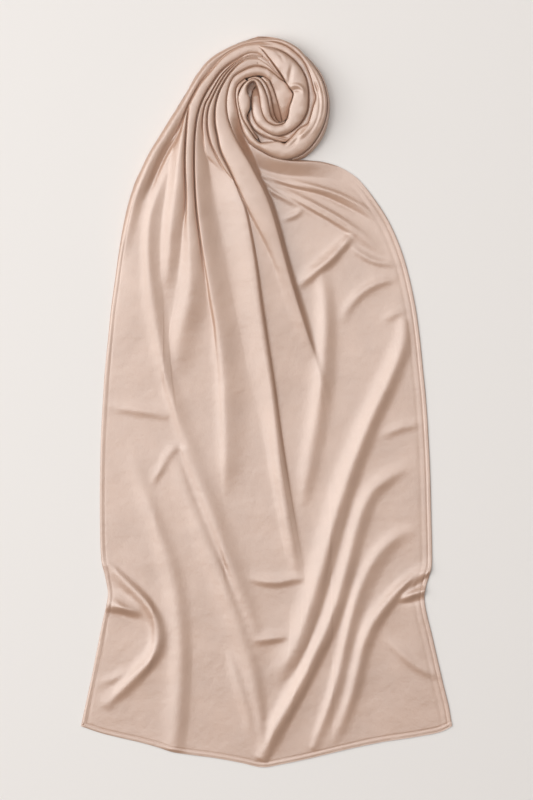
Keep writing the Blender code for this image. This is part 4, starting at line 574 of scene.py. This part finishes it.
def folds_height(points):
    """How high the folds and wrinkles stand over the hidden layers, in millimetres, at each point."""
    total = np.zeros(len(points))
    for ridge in RIDGES:
        total += ridge_height(points, ridge) ** FOLD_MERGE
    for w in WRINKLES:
        rise = line_height(points, w.path, w.height, w.shade_width, w.lit_width, WRINKLE_POWER, WRINKLE_END)
        total += rise ** FOLD_MERGE
    return total ** (1 / FOLD_MERGE)


def mark_height(points, piece):
    """What the looser marks add on a stretch, in metres."""
    total = np.zeros(len(points))
    for m in MARKS:
        if m.piece == piece:
            total += line_height(points, m.path, m.height, m.left_width, m.right_width, MARK_POWER, MARK_END)
    return total * MM


# Soft unevenness: how far apart its rises lie, in metres, and how high they are, in millimetres
CLOTH_WAVES = (0.045, 0.5)
WOUND_WAVES = (0.012, 0.5)
NOISE_SLICE = 0.3  # where the noise is cut


def waves(points, reach, rise):
    """Soft unevenness of hand-laid cloth, in metres."""
    heights = [noise.noise(Vector((x / reach, y / reach, NOISE_SLICE))) for x, y in points]
    return np.array(heights) * rise * MM


DRAPE_CELL = 5.0  # millimetres between the places where the drape beside the folds is worked out
DRAPE_REACH = 3.0  # how many of these the drape runs out by
DRAPE_BOX = ((70, 790), (470, 20))  # the lower left and upper right places of that grid
BELL_ENDS = 3  # the bell that spreads it is cut off at this many reaches
GRID_MARGIN = 1.001  # keeps a place on the grid's far edges inside it
# How much of each height the scene takes: of the hidden layers, of the folds, and of the broad drape
LAYERS_SHARE, FOLD_SHARE, DRAPE_SHARE = 1.15, 0.82, 0.35


def blurred(grid, reach):
    """A grid of heights spread out by a bell of this reach, in cells."""
    at = np.arange(-int(BELL_ENDS * reach), int(BELL_ENDS * reach) + 1)
    bell = np.exp(-0.5 * (at / reach) ** 2)
    bell /= bell.sum()
    for axis in (0, 1):
        grid = np.apply_along_axis(np.convolve, axis, grid, bell, "same")
    return grid


def drape_grid():
    """Heights of the cloth's broad drape on a grid over the floor: (heights, the grid's x, its y)."""
    low, high = place(DRAPE_BOX)
    xs = np.arange(low[0], high[0], DRAPE_CELL * MM)
    ys = np.arange(low[1], high[1], DRAPE_CELL * MM)
    flat = np.stack(np.meshgrid(xs, ys), -1).reshape(-1, 2)
    return blurred(folds_height(flat).reshape(len(ys), len(xs)), DRAPE_REACH), xs, ys


def read_grid(points, grid, xs, ys):
    """A grid's heights at points between its places."""
    u = np.clip((points[:, 0] - xs[0]) / (xs[1] - xs[0]), 0, len(xs) - GRID_MARGIN)
    v = np.clip((points[:, 1] - ys[0]) / (ys[1] - ys[0]), 0, len(ys) - GRID_MARGIN)
    i, j = u.astype(int), v.astype(int)
    u, v = u - i, v - j
    return ((grid[j, i] * (1 - u) + grid[j, i + 1] * u) * (1 - v)
            + (grid[j + 1, i] * (1 - u) + grid[j + 1, i + 1] * u) * v)


DRAPE = drape_grid()
HEAD_FLATTER, HEAD_ROWS = 0.35, (95.0, 150.0)  # the pleats lie so much flatter above these rows


def cloth_surface(points):
    """The laid cloth's own height with its drape, marks and unevenness, in metres."""
    row = MIDDLE_Y - points[:, 1] / UNIT
    flatter = 1 - HEAD_FLATTER * (1 - smooth((row - HEAD_ROWS[0]) / (HEAD_ROWS[1] - HEAD_ROWS[0])))
    height = (LAYERS_SHARE * layers_height(points) + FOLD_SHARE * flatter * folds_height(points)
              + DRAPE_SHARE * read_grid(points, *DRAPE))
    return height * MM + mark_height(points, "cloth") + waves(points, *CLOTH_WAVES)


def crossing(start, end, line):
    """How far along the step from start to end a line crosses it, or None."""
    a, b = line[:-1], line[1:]
    d, e = end - start, b - a
    cross = d[0] * e[:, 1] - d[1] * e[:, 0]
    rel = a - start
    along = (rel[:, 0] * e[:, 1] - rel[:, 1] * e[:, 0]) / cross
    on_line = (rel[:, 0] * d[1] - rel[:, 1] * d[0]) / cross
    hits = along[(on_line >= -TINY) & (on_line <= 1 + TINY) & (along >= 0) & (along <= 1)]
    return float(hits.min()) if len(hits) else None


def crowded(columns):
    """Shares of a stretch's width, closer together at its two creases."""
    t = np.arange(columns) / columns
    return (1 - CREASE_CROWD) * t + CREASE_CROWD * (1 - np.cos(math.pi * t)) / 2


def left_shares(start, end, lines):
    """Where a row's columns lie between the left side and the last guide, as shares of that run."""
    length = np.linalg.norm(end - start)
    least = LEAST_COLUMN / length
    marks = [0.0]
    for line in lines[:-1]:
        found = crossing(start, end, line)
        marks.append(max(marks[-1] + least, marks[-1] if found is None else found))
    marks.append(1.0)
    for k in range(len(marks) - 2, 0, -1):
        marks[k] = min(marks[k], marks[k + 1] - least)
    shares = [low + (high - low) * crowded(g.columns) for g, low, high in zip(GUIDES, marks, marks[1:])]
    return np.concatenate(shares + [[1.0]])


def right_shares(start, end):
    """Where a row's columns lie between the last guide and the right edge, as shares of that run."""
    if np.isnan(end[0]):
        return np.full(RIGHT_COLUMNS + len(HEM_COLUMNS) - 1, np.nan)
    hem = 1 - np.array(HEM_COLUMNS) / np.linalg.norm(end - start)
    return np.concatenate([np.linspace(0, hem[0], RIGHT_COLUMNS + 1)[1:-1], hem])


GATHER_STEPS = 9  # rows for each place of the gathers' side
SHOULDER_PLACE = 9  # the place where the shoulder starts, to the right of the last guide
ROW_STEP = 2.0  # plan units between the rows lower down
NOTCH_ROWS = (565.0, 640.0, 1.35)  # where rows lie closer, and how close
HEM_PULL = (560.0, 726.0, 1.5)  # rows bend to the hem's bow between these heights, with this power
INNER_TURN_START = 5  # the place on the inner turn's crease that lies across from the gathers' first
SHOULDER_EDGE = RIGHT_EDGE[:6]  # where the shoulder's rows end
SHOULDER_POWER = 1.5  # how fast the shoulder's own line gives way to straight rows
# Below the gathers a row passes the last guide this much lower, and the right edge this much higher,
# and each dies out over the second number of plan units
MIDDLE_SINK, RIGHT_LIFT = (5, 47), (10, 70)


def at_y(line, y):
    """The point of a line that runs down the plan at each height y."""
    run = fine(line)
    return np.stack([np.interp(y, run[:, 1], run[:, 0]), y], -1)


def row_ends():
    """Each row's left end, its place on the last guide and its right end, in plan units.

    A row above the shoulder has no right end: it is not a number.
    """
    at = np.linspace(0, len(GATHER_SIDE) - 1, GATHER_STEPS * (len(GATHER_SIDE) - 1) + 1)
    left = spline(GATHER_SIDE, at)
    middle = spline(CREASE_INNER_TURN, at + INNER_TURN_START)
    middle[0, 0] = left[0, 0]
    share = (at - SHOULDER_PLACE) / (len(GATHER_SIDE) - 1 - SHOULDER_PLACE)
    right = np.where(share[:, None] < 0, np.nan, share_of(fine(SHOULDER_EDGE), np.clip(share, 0, 1)))
    low, high, close = NOTCH_ROWS
    y = np.concatenate([np.arange(GATHER_FOOT_Y + ROW_STEP, low, ROW_STEP), np.arange(low, high, close),
                        np.arange(high, HEM_PULL[1] - HEM_ROWS[0] - ROW_STEP / 2, ROW_STEP),
                        HEM_PULL[1] - np.array(HEM_ROWS)])
    below = y - GATHER_FOOT_Y
    middle_y = y + MIDDLE_SINK[0] * (1 - smooth(below / MIDDLE_SINK[1]))
    right_y = y - RIGHT_LIFT[0] * (1 - smooth(below / RIGHT_LIFT[1]))
    left = np.vstack([left, at_y(LEFT_SIDE, y)])
    middle = np.vstack([middle, at_y(GUIDES[-1].line, middle_y)])
    right = np.vstack([right, at_y(RIGHT_EDGE, right_y)])
    return left, middle, right


def cloth_plan():
    """The laid cloth's plan as rows of points in plan units, from its left edge to its right."""
    left, middle, right = row_ends()
    lines = [fine(g.line) for g in GUIDES]
    shoulder = fine(SHOULDER_TOP)
    bow = fine(HEM_EDGE)
    chord = bow[0] + (bow[-1] - bow[0]) * ((bow[:, 0] - bow[0, 0]) / (bow[-1, 0] - bow[0, 0]))[:, None]
    first = np.where(~np.isnan(right[:, 0]))[0][0]
    shoulder_rows = GATHER_STEPS * (len(GATHER_SIDE) - 1) - first
    rows = []
    for k, (a, b, c) in enumerate(zip(left, middle, right)):
        shares = left_shares(a, b, lines)[:, None]
        right_run = right_shares(b, c)[:, None]
        row = np.vstack([a * (1 - shares) + b * shares, b * (1 - right_run) + c * right_run])
        if 0 <= k - first < shoulder_rows:
            straight = middle[first] * (1 - right_run) + right[first] * right_run
            top = share_of(shoulder, right_run[:, 0])
            row[len(shares):] += (top - straight) * (1 - (k - first) / shoulder_rows) ** SHOULDER_POWER
        pull = np.clip((a[1] - HEM_PULL[0]) / (HEM_PULL[1] - HEM_PULL[0]), 0, 1) ** HEM_PULL[2]
        across = (row[:, 0] - a[0]) / (c[0] - a[0])
        reach = bow[0, 0] + across * (bow[-1, 0] - bow[0, 0])
        if pull > 0:
            row[:, 1] += pull * np.interp(reach, bow[:, 0], bow[:, 1] - chord[:, 1])
        rows.append(row)
    return np.array(rows)


def eased(z):
    """Heights on a grid with their steepest corners rounded; places with no height are left out."""
    for axis in (0, 1):
        before, after = np.roll(z, 1, axis), np.roll(z, -1, axis)
        mixed = (before + 2 * z + after) / 4
        edge = [slice(None)] * 2
        for end in (0, -1):
            edge[axis] = end
            mixed[tuple(edge)] = z[tuple(edge)]
        z = np.where(np.isnan(mixed), z, mixed)
    return z


def linked(name, data):
    """A new object in the scene."""
    thing = bpy.data.objects.new(name, data)
    bpy.context.scene.collection.objects.link(thing)
    return thing


def solid_object(name, shape, material):
    """An object made of what was modelled in shape, which is then let go."""
    mesh = bpy.data.meshes.new(name)
    shape.to_mesh(mesh)
    shape.free()
    mesh.materials.append(material)
    return linked(name, mesh)


UV_COLUMN = 3  # the column that gives the length down the cloth lies at one over this of the width


def grid_object(name, points, material):
    """Rows of points joined into one smooth sheet, with the cloth's own lengths as its UV map."""
    count, across = points.shape[:2]
    there = ~np.isnan(points[..., 2])
    index = np.full((count, across), -1)
    index[there] = np.arange(there.sum())
    quads = np.stack([index[:-1, :-1], index[1:, :-1], index[1:, 1:], index[:-1, 1:]], -1).reshape(-1, 4)
    quads = quads[(quads >= 0).all(1)]
    mesh = bpy.data.meshes.new(name)
    mesh.from_pydata(points[there].tolist(), [], quads.tolist())
    filled = np.nan_to_num(points)
    along_row = np.concatenate([np.zeros((count, 1)), np.cumsum(
        np.linalg.norm(np.diff(filled, axis=1), axis=2), axis=1)], 1)
    down = run_of(filled[:, across // UV_COLUMN])
    lengths = np.stack([along_row, np.broadcast_to(down[:, None], along_row.shape)], -1)[there]
    layer = mesh.uv_layers.new(name="UVMap")
    loops = np.empty(len(mesh.loops), int)
    mesh.loops.foreach_get("vertex_index", loops)
    layer.data.foreach_set("uv", lengths[loops].astype(np.float32).ravel())
    mesh.materials.append(material)
    mesh.shade_smooth()
    mesh.update()
    turn_up(mesh)
    return linked(name, mesh)


def turn_up(mesh):
    """Faces of a laid sheet point up."""
    shape = bmesh.new()
    shape.from_mesh(mesh)
    if sum(f.normal.z * f.calc_area() for f in shape.faces) < 0:
        bmesh.ops.reverse_faces(shape, faces=shape.faces)
    shape.to_mesh(mesh)
    shape.free()


SIDE_STEPS = 13  # rows down an outer side
LAYER_HEIGHT, LAYER_BULGE = 6.0, 0.8  # the folded layers that show in it, in millimetres
LAYERS_FROM = 3.0  # they start so far below its upper edge


def unit(way):
    """Directions at a length of one."""
    return way / np.maximum(np.linalg.norm(way, axis=1), TINY)[:, None]


def layered_side(edge, way):
    """Rows of points from the floor up to an edge: the side of the folded layers under the cloth."""
    way = unit(way)
    rows = []
    for share in np.linspace(0, 1, SIDE_STEPS, endpoint=False):
        row = edge.copy()
        row[:, 2] = np.maximum(edge[:, 2] * share, FLOOR_GAP * MM)
        down = (edge[:, 2] - row[:, 2]) / MM
        bulge = np.abs(np.sin(math.pi * down / LAYER_HEIGHT)) * smooth((down - LAYERS_FROM) / LAYERS_FROM)
        row[:, :2] += way * (LAYER_BULGE * bulge * MM)[:, None]
        rows.append(row)
    return np.stack(rows, 1)


HEM_WIDTH, HEM_RISE, HEM_END = 6.4, 0.7, 1.6  # a turned hem: its width, its height and how fast it ends
HEM_ROLL = 1.6  # its folded edge is rounded over this width
SEAM_IN, SEAM_DEEP, SEAM_WIDE = 7.6, 0.6, 1.0  # the stitched groove: how far in, how deep, how wide
SOFT_LINE = (17.5, 0.45, 2.6)  # the same of a softer line inside the right hem
SIDE_HEMS_FROM = (215.0, 176.0)  # where the left and the right hem come out from the rosette
HEM_STARTS_OVER = 30.0  # and over how many plan units they come up to their full height
HEM_STEP = 6  # how far apart the points of a hem's line are, in millimetres


def groove(away, place_in, deep, wide):
    """How deep a stitched or softer line lies at this distance from the edge, in millimetres."""
    return deep * np.exp(-((away - place_in) / wide) ** 2)


def hem_height(points):
    """What the turned and stitched hems add to the cloth, in metres."""
    row = MIDDLE_Y - points[:, 1] / UNIT
    total = np.zeros(len(points))
    for line, start in ((LEFT_EDGE, SIDE_HEMS_FROM[0]), (RIGHT_EDGE, SIDE_HEMS_FROM[1]), (HEM_EDGE, 0.0)):
        away = nearest(points, even(line, HEM_STEP))[0] / MM
        rise = HEM_RISE * (1 - smooth((away - HEM_WIDTH) / HEM_END + 0.5))
        rise *= np.sqrt(1 - (1 - np.clip(away / HEM_ROLL, 0, 1)) ** 2)
        rise -= groove(away, SEAM_IN, SEAM_DEEP, SEAM_WIDE)
        if line is RIGHT_EDGE:
            rise -= groove(away, *SOFT_LINE)
        rise *= smooth((row - start) / HEM_STARTS_OVER)
        total = np.where(np.abs(rise) > np.abs(total), rise, total)
    return total * MM


STITCH_LENGTH, STITCH_GAP, STITCH_WIDTH, STITCH_RISE = 2.3, 1.5, 0.7, 0.5  # millimetres
STITCHED = (LEFT_EDGE[11:], HEM_EDGE, RIGHT_EDGE[5:])
SHEET_MIDDLE = (265, 460)  # a place inside the hems, which tells their inner side
RAY_HEIGHT = 0.2  # the cloth's upper side is looked for from this many metres up
# A stitch's rings of points: how far along it each lies, and how much of the full height it has
STITCH_RINGS = ((-0.5, 0.3), (-0.3, 1.0), (0.3, 1.0), (0.5, 0.3))
STITCH_BACK, STITCH_SINK = 0.5, 0.2  # how wide its back is to its foot, and how deep it sits, in millimetres


def stitches(cloth, material):
    """Rows of short stitches in the hems' grooves, joined into one piece."""
    mesh = cloth.data
    tree = BVHTree.FromPolygons([v.co for v in mesh.vertices], [tuple(p.vertices) for p in mesh.polygons])
    shape = bmesh.new()
    for edge in STITCHED:
        line = even(edge, STITCH_LENGTH + STITCH_GAP)
        along = np.gradient(line, axis=0)
        along /= np.linalg.norm(along, axis=1)[:, None]
        inward = np.stack([-along[:, 1], along[:, 0]], -1)
        if (inward * (place(SHEET_MIDDLE) - line)).sum() < 0:
            inward = -inward
        for at, way in zip(line + inward * SEAM_IN * MM, along):
            hit, normal, _, _ = tree.ray_cast(Vector((*at, RAY_HEIGHT)), Vector((0, 0, -1)))
            if hit is not None:
                add_stitch(shape, hit, Vector((*way, 0)), normal)
    bmesh.ops.recalc_face_normals(shape, faces=shape.faces)
    thing = solid_object("hem_stitches", shape, material)
    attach(thing, "root")
    return thing


def add_stitch(shape, at, way, normal):
    """One stitch: a small low block with a rounded back."""
    way = (way - normal * way.dot(normal)).normalized()
    across = normal.cross(way)
    rings = []
    for end, share in STITCH_RINGS:
        middle = at + way * end * STITCH_LENGTH * MM
        half = across * STITCH_WIDTH * MM / 2
        top = normal * STITCH_RISE * MM * share
        sink = normal * MM * STITCH_SINK
        ring = (middle - half - sink, middle - half * STITCH_BACK + top,
                middle + half * STITCH_BACK + top, middle + half - sink)
        rings.append([shape.verts.new(p) for p in ring])
    for a, b in zip(rings, rings[1:]):
        for k in range(4):
            m = (k + 1) % 4
            shape.faces.new((a[k], a[m], b[m], b[k]))
    shape.faces.new(rings[0])
    shape.faces.new(rings[-1])


KNOT = (83.0, 723.6)  # the hem's last knot, at the lower left corner
KNOT_RADIUS, KNOT_HEIGHT = 2.4, 2.2  # millimetres
KNOT_LUMPS, KNOT_LUMP_SCALE = 0.25, 900  # how lumpy it is, and how closely its lumps lie
KNOT_FLAT = 0.6  # its height to its width


def corner_knot(material):
    """The small knot that ends the hem's thread."""
    shape = bmesh.new()
    bmesh.ops.create_icosphere(shape, subdivisions=2, radius=KNOT_RADIUS * MM)
    for v in shape.verts:
        lump = 1 + KNOT_LUMPS * noise.noise(v.co * KNOT_LUMP_SCALE)
        v.co = Vector((v.co.x * lump, v.co.y * lump, v.co.z * KNOT_FLAT * lump))
    thing = solid_object("hem_knot", shape, material)
    thing.data.shade_smooth()
    thing.location = (*place(KNOT), KNOT_HEIGHT * MM)
    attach(thing, "root")
    return thing


LAP_LENGTH, LAP_DROP = 4.0, 1.0  # how far, and how much lower, the gathers run on under the wound part
# Below this the columns no longer follow each crease, and corners are rounded more and more
EASED_FROM, EASED_OVER = 250.0, 60.0
LEAST_CLOTH = 0.4  # the cloth's upper side lies no lower than this, in millimetres


def laid_cloth(material):
    """The gathers and the panel below them: one unbroken stretch of cloth, down to the hem."""
    plan_rows = cloth_plan()
    plan = place(plan_rows)
    there = ~np.isnan(plan[..., 0])
    flat = plan[there]
    z = np.full(plan.shape[:2], np.nan)
    z[there] = cloth_surface(flat)
    soft = smooth((plan_rows[:, :, 1] - EASED_FROM) / EASED_OVER)
    z = z * (1 - soft) + eased(eased(z)) * soft + CLOTH * MM
    z[there] += hem_height(flat)
    z = np.maximum(z, LEAST_CLOTH * MM)
    points = np.dstack([plan, z])
    points = np.concatenate([layered_side(points[:, 0], (points[:, 0] - points[:, 1])[:, :2]), points], 1)
    lap = points[:1].copy()
    lap[..., 0] += LAP_LENGTH * UNIT
    lap[..., 2] = np.maximum(lap[..., 2] - LAP_DROP * MM, 0)
    points = np.concatenate([lap, points], 0)
    cloth = grid_object("laid_cloth", points, material)
    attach(cloth, "root")
    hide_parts("panel", "gather")
    return cloth


PER_PLACE = 8  # sections of a wound stretch for each of its places
ACROSS = crowded(26).tolist() + [1.0]
# How many places a wound stretch takes to leave the form of the cloth that it runs on from
LEADS = {"turn_wide": 2.5, "turn_narrow": 2.5, "flap": 0.8, "pleat_ends": 5.0, "turn_inner": 3.5}
HEAD_X = 258.0  # where the gathers end and the wound stretches take over, in plan units
HEAD_LAP = 0.3  # how far these lie over the gathers there
HEAD_BACK = 0.2  # places past that line read the gathers' height so far back from it

# How much of a side's drop is its top's even bow; the rest is its steep edge
BOW_SHARE, BOW_LEAST, BOW_GROWS = 0.15, 0.6, 0.08
EDGE_POWER = 0.15
SIDE_DROP, SIDE_LEAST = 4.0, 0.3  # a side runs straight down so far, but no lower than the second
SIDE_SPREAD = 1.6  # and spreads this far under its neighbour, so that no floor shows in the crease


def band_section(band, at):
    """Points of a wound stretch: at is counted in the band's places, from outer side to inner side."""
    outer, inner = place(spline(band.outer, at)), place(spline(band.inner, at))
    crest = np.interp(at, np.arange(len(band.heights)), band.heights)
    across = np.asarray(ACROSS)[None]
    flat = outer[:, None] * (1 - across[..., None]) + inner[:, None] * across[..., None]
    t = np.where(across < band.crest, (band.crest - across) / band.crest,
                 (across - band.crest) / (1 - band.crest))
    drop = np.where(across < band.crest, band.outer_drop, band.inner_drop)
    bow = np.minimum(BOW_SHARE * drop, BOW_LEAST + BOW_GROWS * drop)
    edge = 1 - np.clip(1 - t**2, 0, 1) ** EDGE_POWER
    z = crest[:, None] - bow * t**2 - (drop - bow) * edge
    return np.dstack([flat, np.maximum(z, LEAST_HEIGHT) * MM])


OUTERMOST = ("turn_outer", "turn_wide")  # their outer sides show the layers beneath them


def with_sides(points, layered):
    """A wound stretch's rows with a side on each: straight down at first, then spreading to the floor."""
    spread = (points[:, 0] - points[:, 1])[:, :2], (points[:, -1] - points[:, -2])[:, :2]
    for side, way in enumerate(spread):
        way = unit(way)
        edge = points[:, -1 * side]
        low, foot = edge.copy(), edge.copy()
        low[:, 2] = np.maximum(edge[:, 2] - SIDE_DROP * MM, SIDE_LEAST * MM)
        foot[:, :2] += way * SIDE_SPREAD * MM
        foot[:, 2] = FLOOR_GAP * MM
        if side:
            points = np.concatenate([points, low[:, None], foot[:, None]], 1)
        elif layered:
            points = np.concatenate([layered_side(edge, way), points], 1)
        else:
            points = np.concatenate([foot[:, None], low[:, None], points], 1)
    return points


def wound(band, material):
    """A wound stretch: its upper side, with the sides that go down beside it to the floor."""
    at = np.linspace(0, len(band.outer) - 1, PER_PLACE * (len(band.outer) - 1) + 1)
    points = band_section(band, at)
    flat = points[..., :2].reshape(-1, 2)
    z = points[..., 2] + mark_height(flat, band.name).reshape(points.shape[:2])
    z += waves(flat, *WOUND_WAVES).reshape(z.shape)
    if band.name in LEADS:
        head = points[0, :, :2].copy()
        line, back = place([(HEAD_X, 0), (HEAD_X - HEAD_BACK, 0)])[:, 0]
        head[:, 0] = np.where(head[:, 0] > line, back, head[:, 0])
        start = cloth_surface(head) + CLOTH * MM
        w = smooth(at / LEADS[band.name])[:, None]
        z = z * w + start[None] * (1 - w)
    points[..., 2] = np.maximum(z, LEAST_HEIGHT * MM)
    near_head = np.abs(points[0, :, 0] - place((HEAD_X, 0))[0]) < UNIT
    points[0, near_head, 0] = place((HEAD_X - HEAD_LAP, 0))[0]
    points = with_sides(points, band.name in OUTERMOST)
    piece = grid_object("cloth_" + band.name, points, material)
    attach(piece, "root")
    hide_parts(band.name)


LINING_HEIGHT = 4.0  # the lowest wound layer, which shows only at the bottom of the creases
LINING_MIDDLE = (278, 102)
LINING_OUTLINE = CREASE_OUTER[:17] + CREASE_INNER_TURN[16:3:-1] + [(258.4, 45)]
LINING_REACH = 0.93  # how far it runs towards that outline
LINING_START, LINING_RINGS = 0.02, 9  # its first ring's share of the way there, and how many it has
LINING_STEP = 12  # how far apart a ring's points are at the outline, in millimetres


def lining(material):
    """The hidden layer under the wound stretches, so that cloth and no floor shows in their creases."""
    outline = even(LINING_OUTLINE + LINING_OUTLINE[:1], LINING_STEP)
    middle = place(LINING_MIDDLE)
    reach = np.linspace(LINING_START, LINING_REACH, LINING_RINGS)[:, None, None]
    flat = middle + (outline[None] - middle) * reach
    points = np.dstack([flat, np.full(flat.shape[:2], LINING_HEIGHT * MM)])
    piece = grid_object("cloth_lining", points, material)
    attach(piece, "root")


CLOTH_DARK, CLOTH_LIGHT = (0.420, 0.243, 0.160, 1.0), (0.482, 0.288, 0.195, 1.0)
DARK_AT, LIGHT_AT = 0.3, 0.7  # where in the noise the cloth's two colours lie
SHEEN_COLOUR = (1.0, 0.93, 0.88, 1.0)
# The noises under the bump: the scale in each direction, and how high they rise, in metres
CRUMPLE = ((60, 66, 60), 0.0005)
GRAIN = ((330, 330, 330), 0.0001)
KNIT_SCALE, KNIT_RISE = 360.0, 0.00008


def sockets(node, **values):
    """Sets a node's inputs; an underscore in a name stands for a space."""
    for name, value in values.items():
        node.inputs[name.replace("_", " ")].default_value = value


def jersey():
    """Satin-faced jersey: a soft sheen over a fine knit, a little uneven in colour."""
    material = bpy.data.materials.new("jersey_fabric")
    material.use_nodes = True
    tree = material.node_tree
    surface = tree.nodes["Principled BSDF"]
    sockets(surface, Roughness=0.4, IOR=2.2, Specular_IOR_Level=0.7)
    sockets(surface, Sheen_Weight=0.1, Sheen_Roughness=0.4, Sheen_Tint=SHEEN_COLOUR)
    where = tree.nodes.new("ShaderNodeTexCoord")
    blotch = tree.nodes.new("ShaderNodeTexNoise")
    sockets(blotch, Scale=15.0, Detail=4.0)
    colour = tree.nodes.new("ShaderNodeValToRGB")
    dark, light = colour.color_ramp.elements
    dark.position, light.position = DARK_AT, LIGHT_AT
    dark.color, light.color = CLOTH_DARK, CLOTH_LIGHT
    tree.links.new(where.outputs["Object"], blotch.inputs["Vector"])
    tree.links.new(blotch.outputs["Fac"], colour.inputs["Fac"])
    tree.links.new(colour.outputs["Color"], surface.inputs["Base Color"])
    crumple = bumped(tree, where.outputs["Object"], *CRUMPLE, None)
    grain = bumped(tree, where.outputs["Object"], *GRAIN, crumple)
    knit = tree.nodes.new("ShaderNodeTexWave")
    sockets(knit, Scale=KNIT_SCALE, Distortion=1.5)
    bump = tree.nodes.new("ShaderNodeBump")
    sockets(bump, Strength=0.4, Distance=KNIT_RISE)
    tree.links.new(where.outputs["UV"], knit.inputs["Vector"])
    tree.links.new(knit.outputs["Fac"], bump.inputs["Height"])
    tree.links.new(grain, bump.inputs["Normal"])
    tree.links.new(bump.outputs["Normal"], surface.inputs["Normal"])
    return material


def bumped(tree, where, scale, distance, before):
    """Bump from a noise of this scale in each direction, over the bump before it: its normal."""
    stretch = tree.nodes.new("ShaderNodeMapping")
    sockets(stretch, Scale=scale)
    bumps = tree.nodes.new("ShaderNodeTexNoise")
    sockets(bumps, Scale=1.0, Detail=3.0)
    bump = tree.nodes.new("ShaderNodeBump")
    sockets(bump, Strength=1.0, Distance=distance)
    tree.links.new(where, stretch.inputs["Vector"])
    tree.links.new(stretch.outputs["Vector"], bumps.inputs["Vector"])
    tree.links.new(bumps.outputs["Fac"], bump.inputs["Height"])
    if before is not None:
        tree.links.new(before, bump.inputs["Normal"])
    return bump.outputs["Normal"]


FLOOR_COLOUR, FLOOR_ROUGHNESS = (0.79, 0.768, 0.753, 1.0), 0.9
FLOOR_REACH = 8  # how far the floor runs each way, in metres
WORLD_COLOUR, WORLD_STRENGTH = (1.0, 0.94, 0.885, 1.0), 0.16
# The soft square lights, which all face the middle: place and size in metres, and power in watts
Light = namedtuple("Light", "name place size power colour")
LIGHTS = [
    Light("overhead", (-0.6, 1.6, 6.4), 6.2, 232, (1.0, 0.99, 0.98)),
    Light("key", (-4.7, 0.4, 5.0), 5.8, 280, (1.0, 0.985, 0.965)),
    Light("side", (-6.6, 1.6, 2.3), 3.6, 100, (1.0, 0.985, 0.965)),
    Light("fill", (4.2, 0.6, 4.6), 5.0, 40, (1.0, 0.92, 0.85)),
]
CAMERA_HEIGHT = 8.0
CAMERA_REACH = 100  # how far the camera sees, in metres
VIEW_HEIGHT = 1.44  # metres of floor that the picture's 800 rows take in
VIEW_MIDDLE_Y = 400  # the plan row at the picture's middle
SENSOR = 36.0  # millimetres


def floor():
    """The plain pale surface under the cloth."""
    mesh = bpy.data.meshes.new("floor")
    r = FLOOR_REACH
    mesh.from_pydata([(-r, -r, 0), (r, -r, 0), (r, r, 0), (-r, r, 0)], [], [(0, 1, 2, 3)])
    material = bpy.data.materials.new("floor")
    material.use_nodes = True
    surface = material.node_tree.nodes["Principled BSDF"]
    sockets(surface, Base_Color=FLOOR_COLOUR, Roughness=FLOOR_ROUGHNESS)
    mesh.materials.append(material)
    thing = linked("floor", mesh)


def area_light(light):
    """A soft square light that faces the middle of the scene."""
    data = bpy.data.lights.new(light.name, "AREA")
    data.shape = "SQUARE"
    data.size = light.size
    data.energy = light.power
    data.color = light.colour
    thing = linked(light.name, data)
    thing.location = light.place
    thing.rotation_euler = (-Vector(light.place)).to_track_quat("-Z", "Y").to_euler()


def studio():
    """Light from above and the left, a weak fill from the right, and pale light from all round."""
    for light in LIGHTS:
        area_light(light)
    world = bpy.data.worlds.new("studio")
    world.use_nodes = True
    sockets(world.node_tree.nodes["Background"], Color=WORLD_COLOUR, Strength=WORLD_STRENGTH)
    bpy.context.scene.world = world
    bpy.context.scene.view_settings.view_transform = "Standard"


def camera():
    """Straight above the laid cloth, far enough that its raised parts keep their places."""
    data = bpy.data.cameras.new("camera")
    data.sensor_width = SENSOR
    data.lens = SENSOR * CAMERA_HEIGHT / VIEW_HEIGHT
    data.clip_end = CAMERA_REACH
    thing = linked("camera", data)
    thing.location = (0, (MIDDLE_Y - VIEW_MIDDLE_Y) * UNIT, CAMERA_HEIGHT)
    bpy.context.scene.camera = thing


def main():
    """Builds every piece, the floor, the lights and the camera."""
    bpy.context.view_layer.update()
    fabric = jersey()
    cloth = laid_cloth(fabric)
    trim = [stitches(cloth, fabric), corner_knot(fabric)]
    for band in BANDS:
        wound(band, fabric)
    lining(fabric)
    floor()
    studio()
    camera()


main()
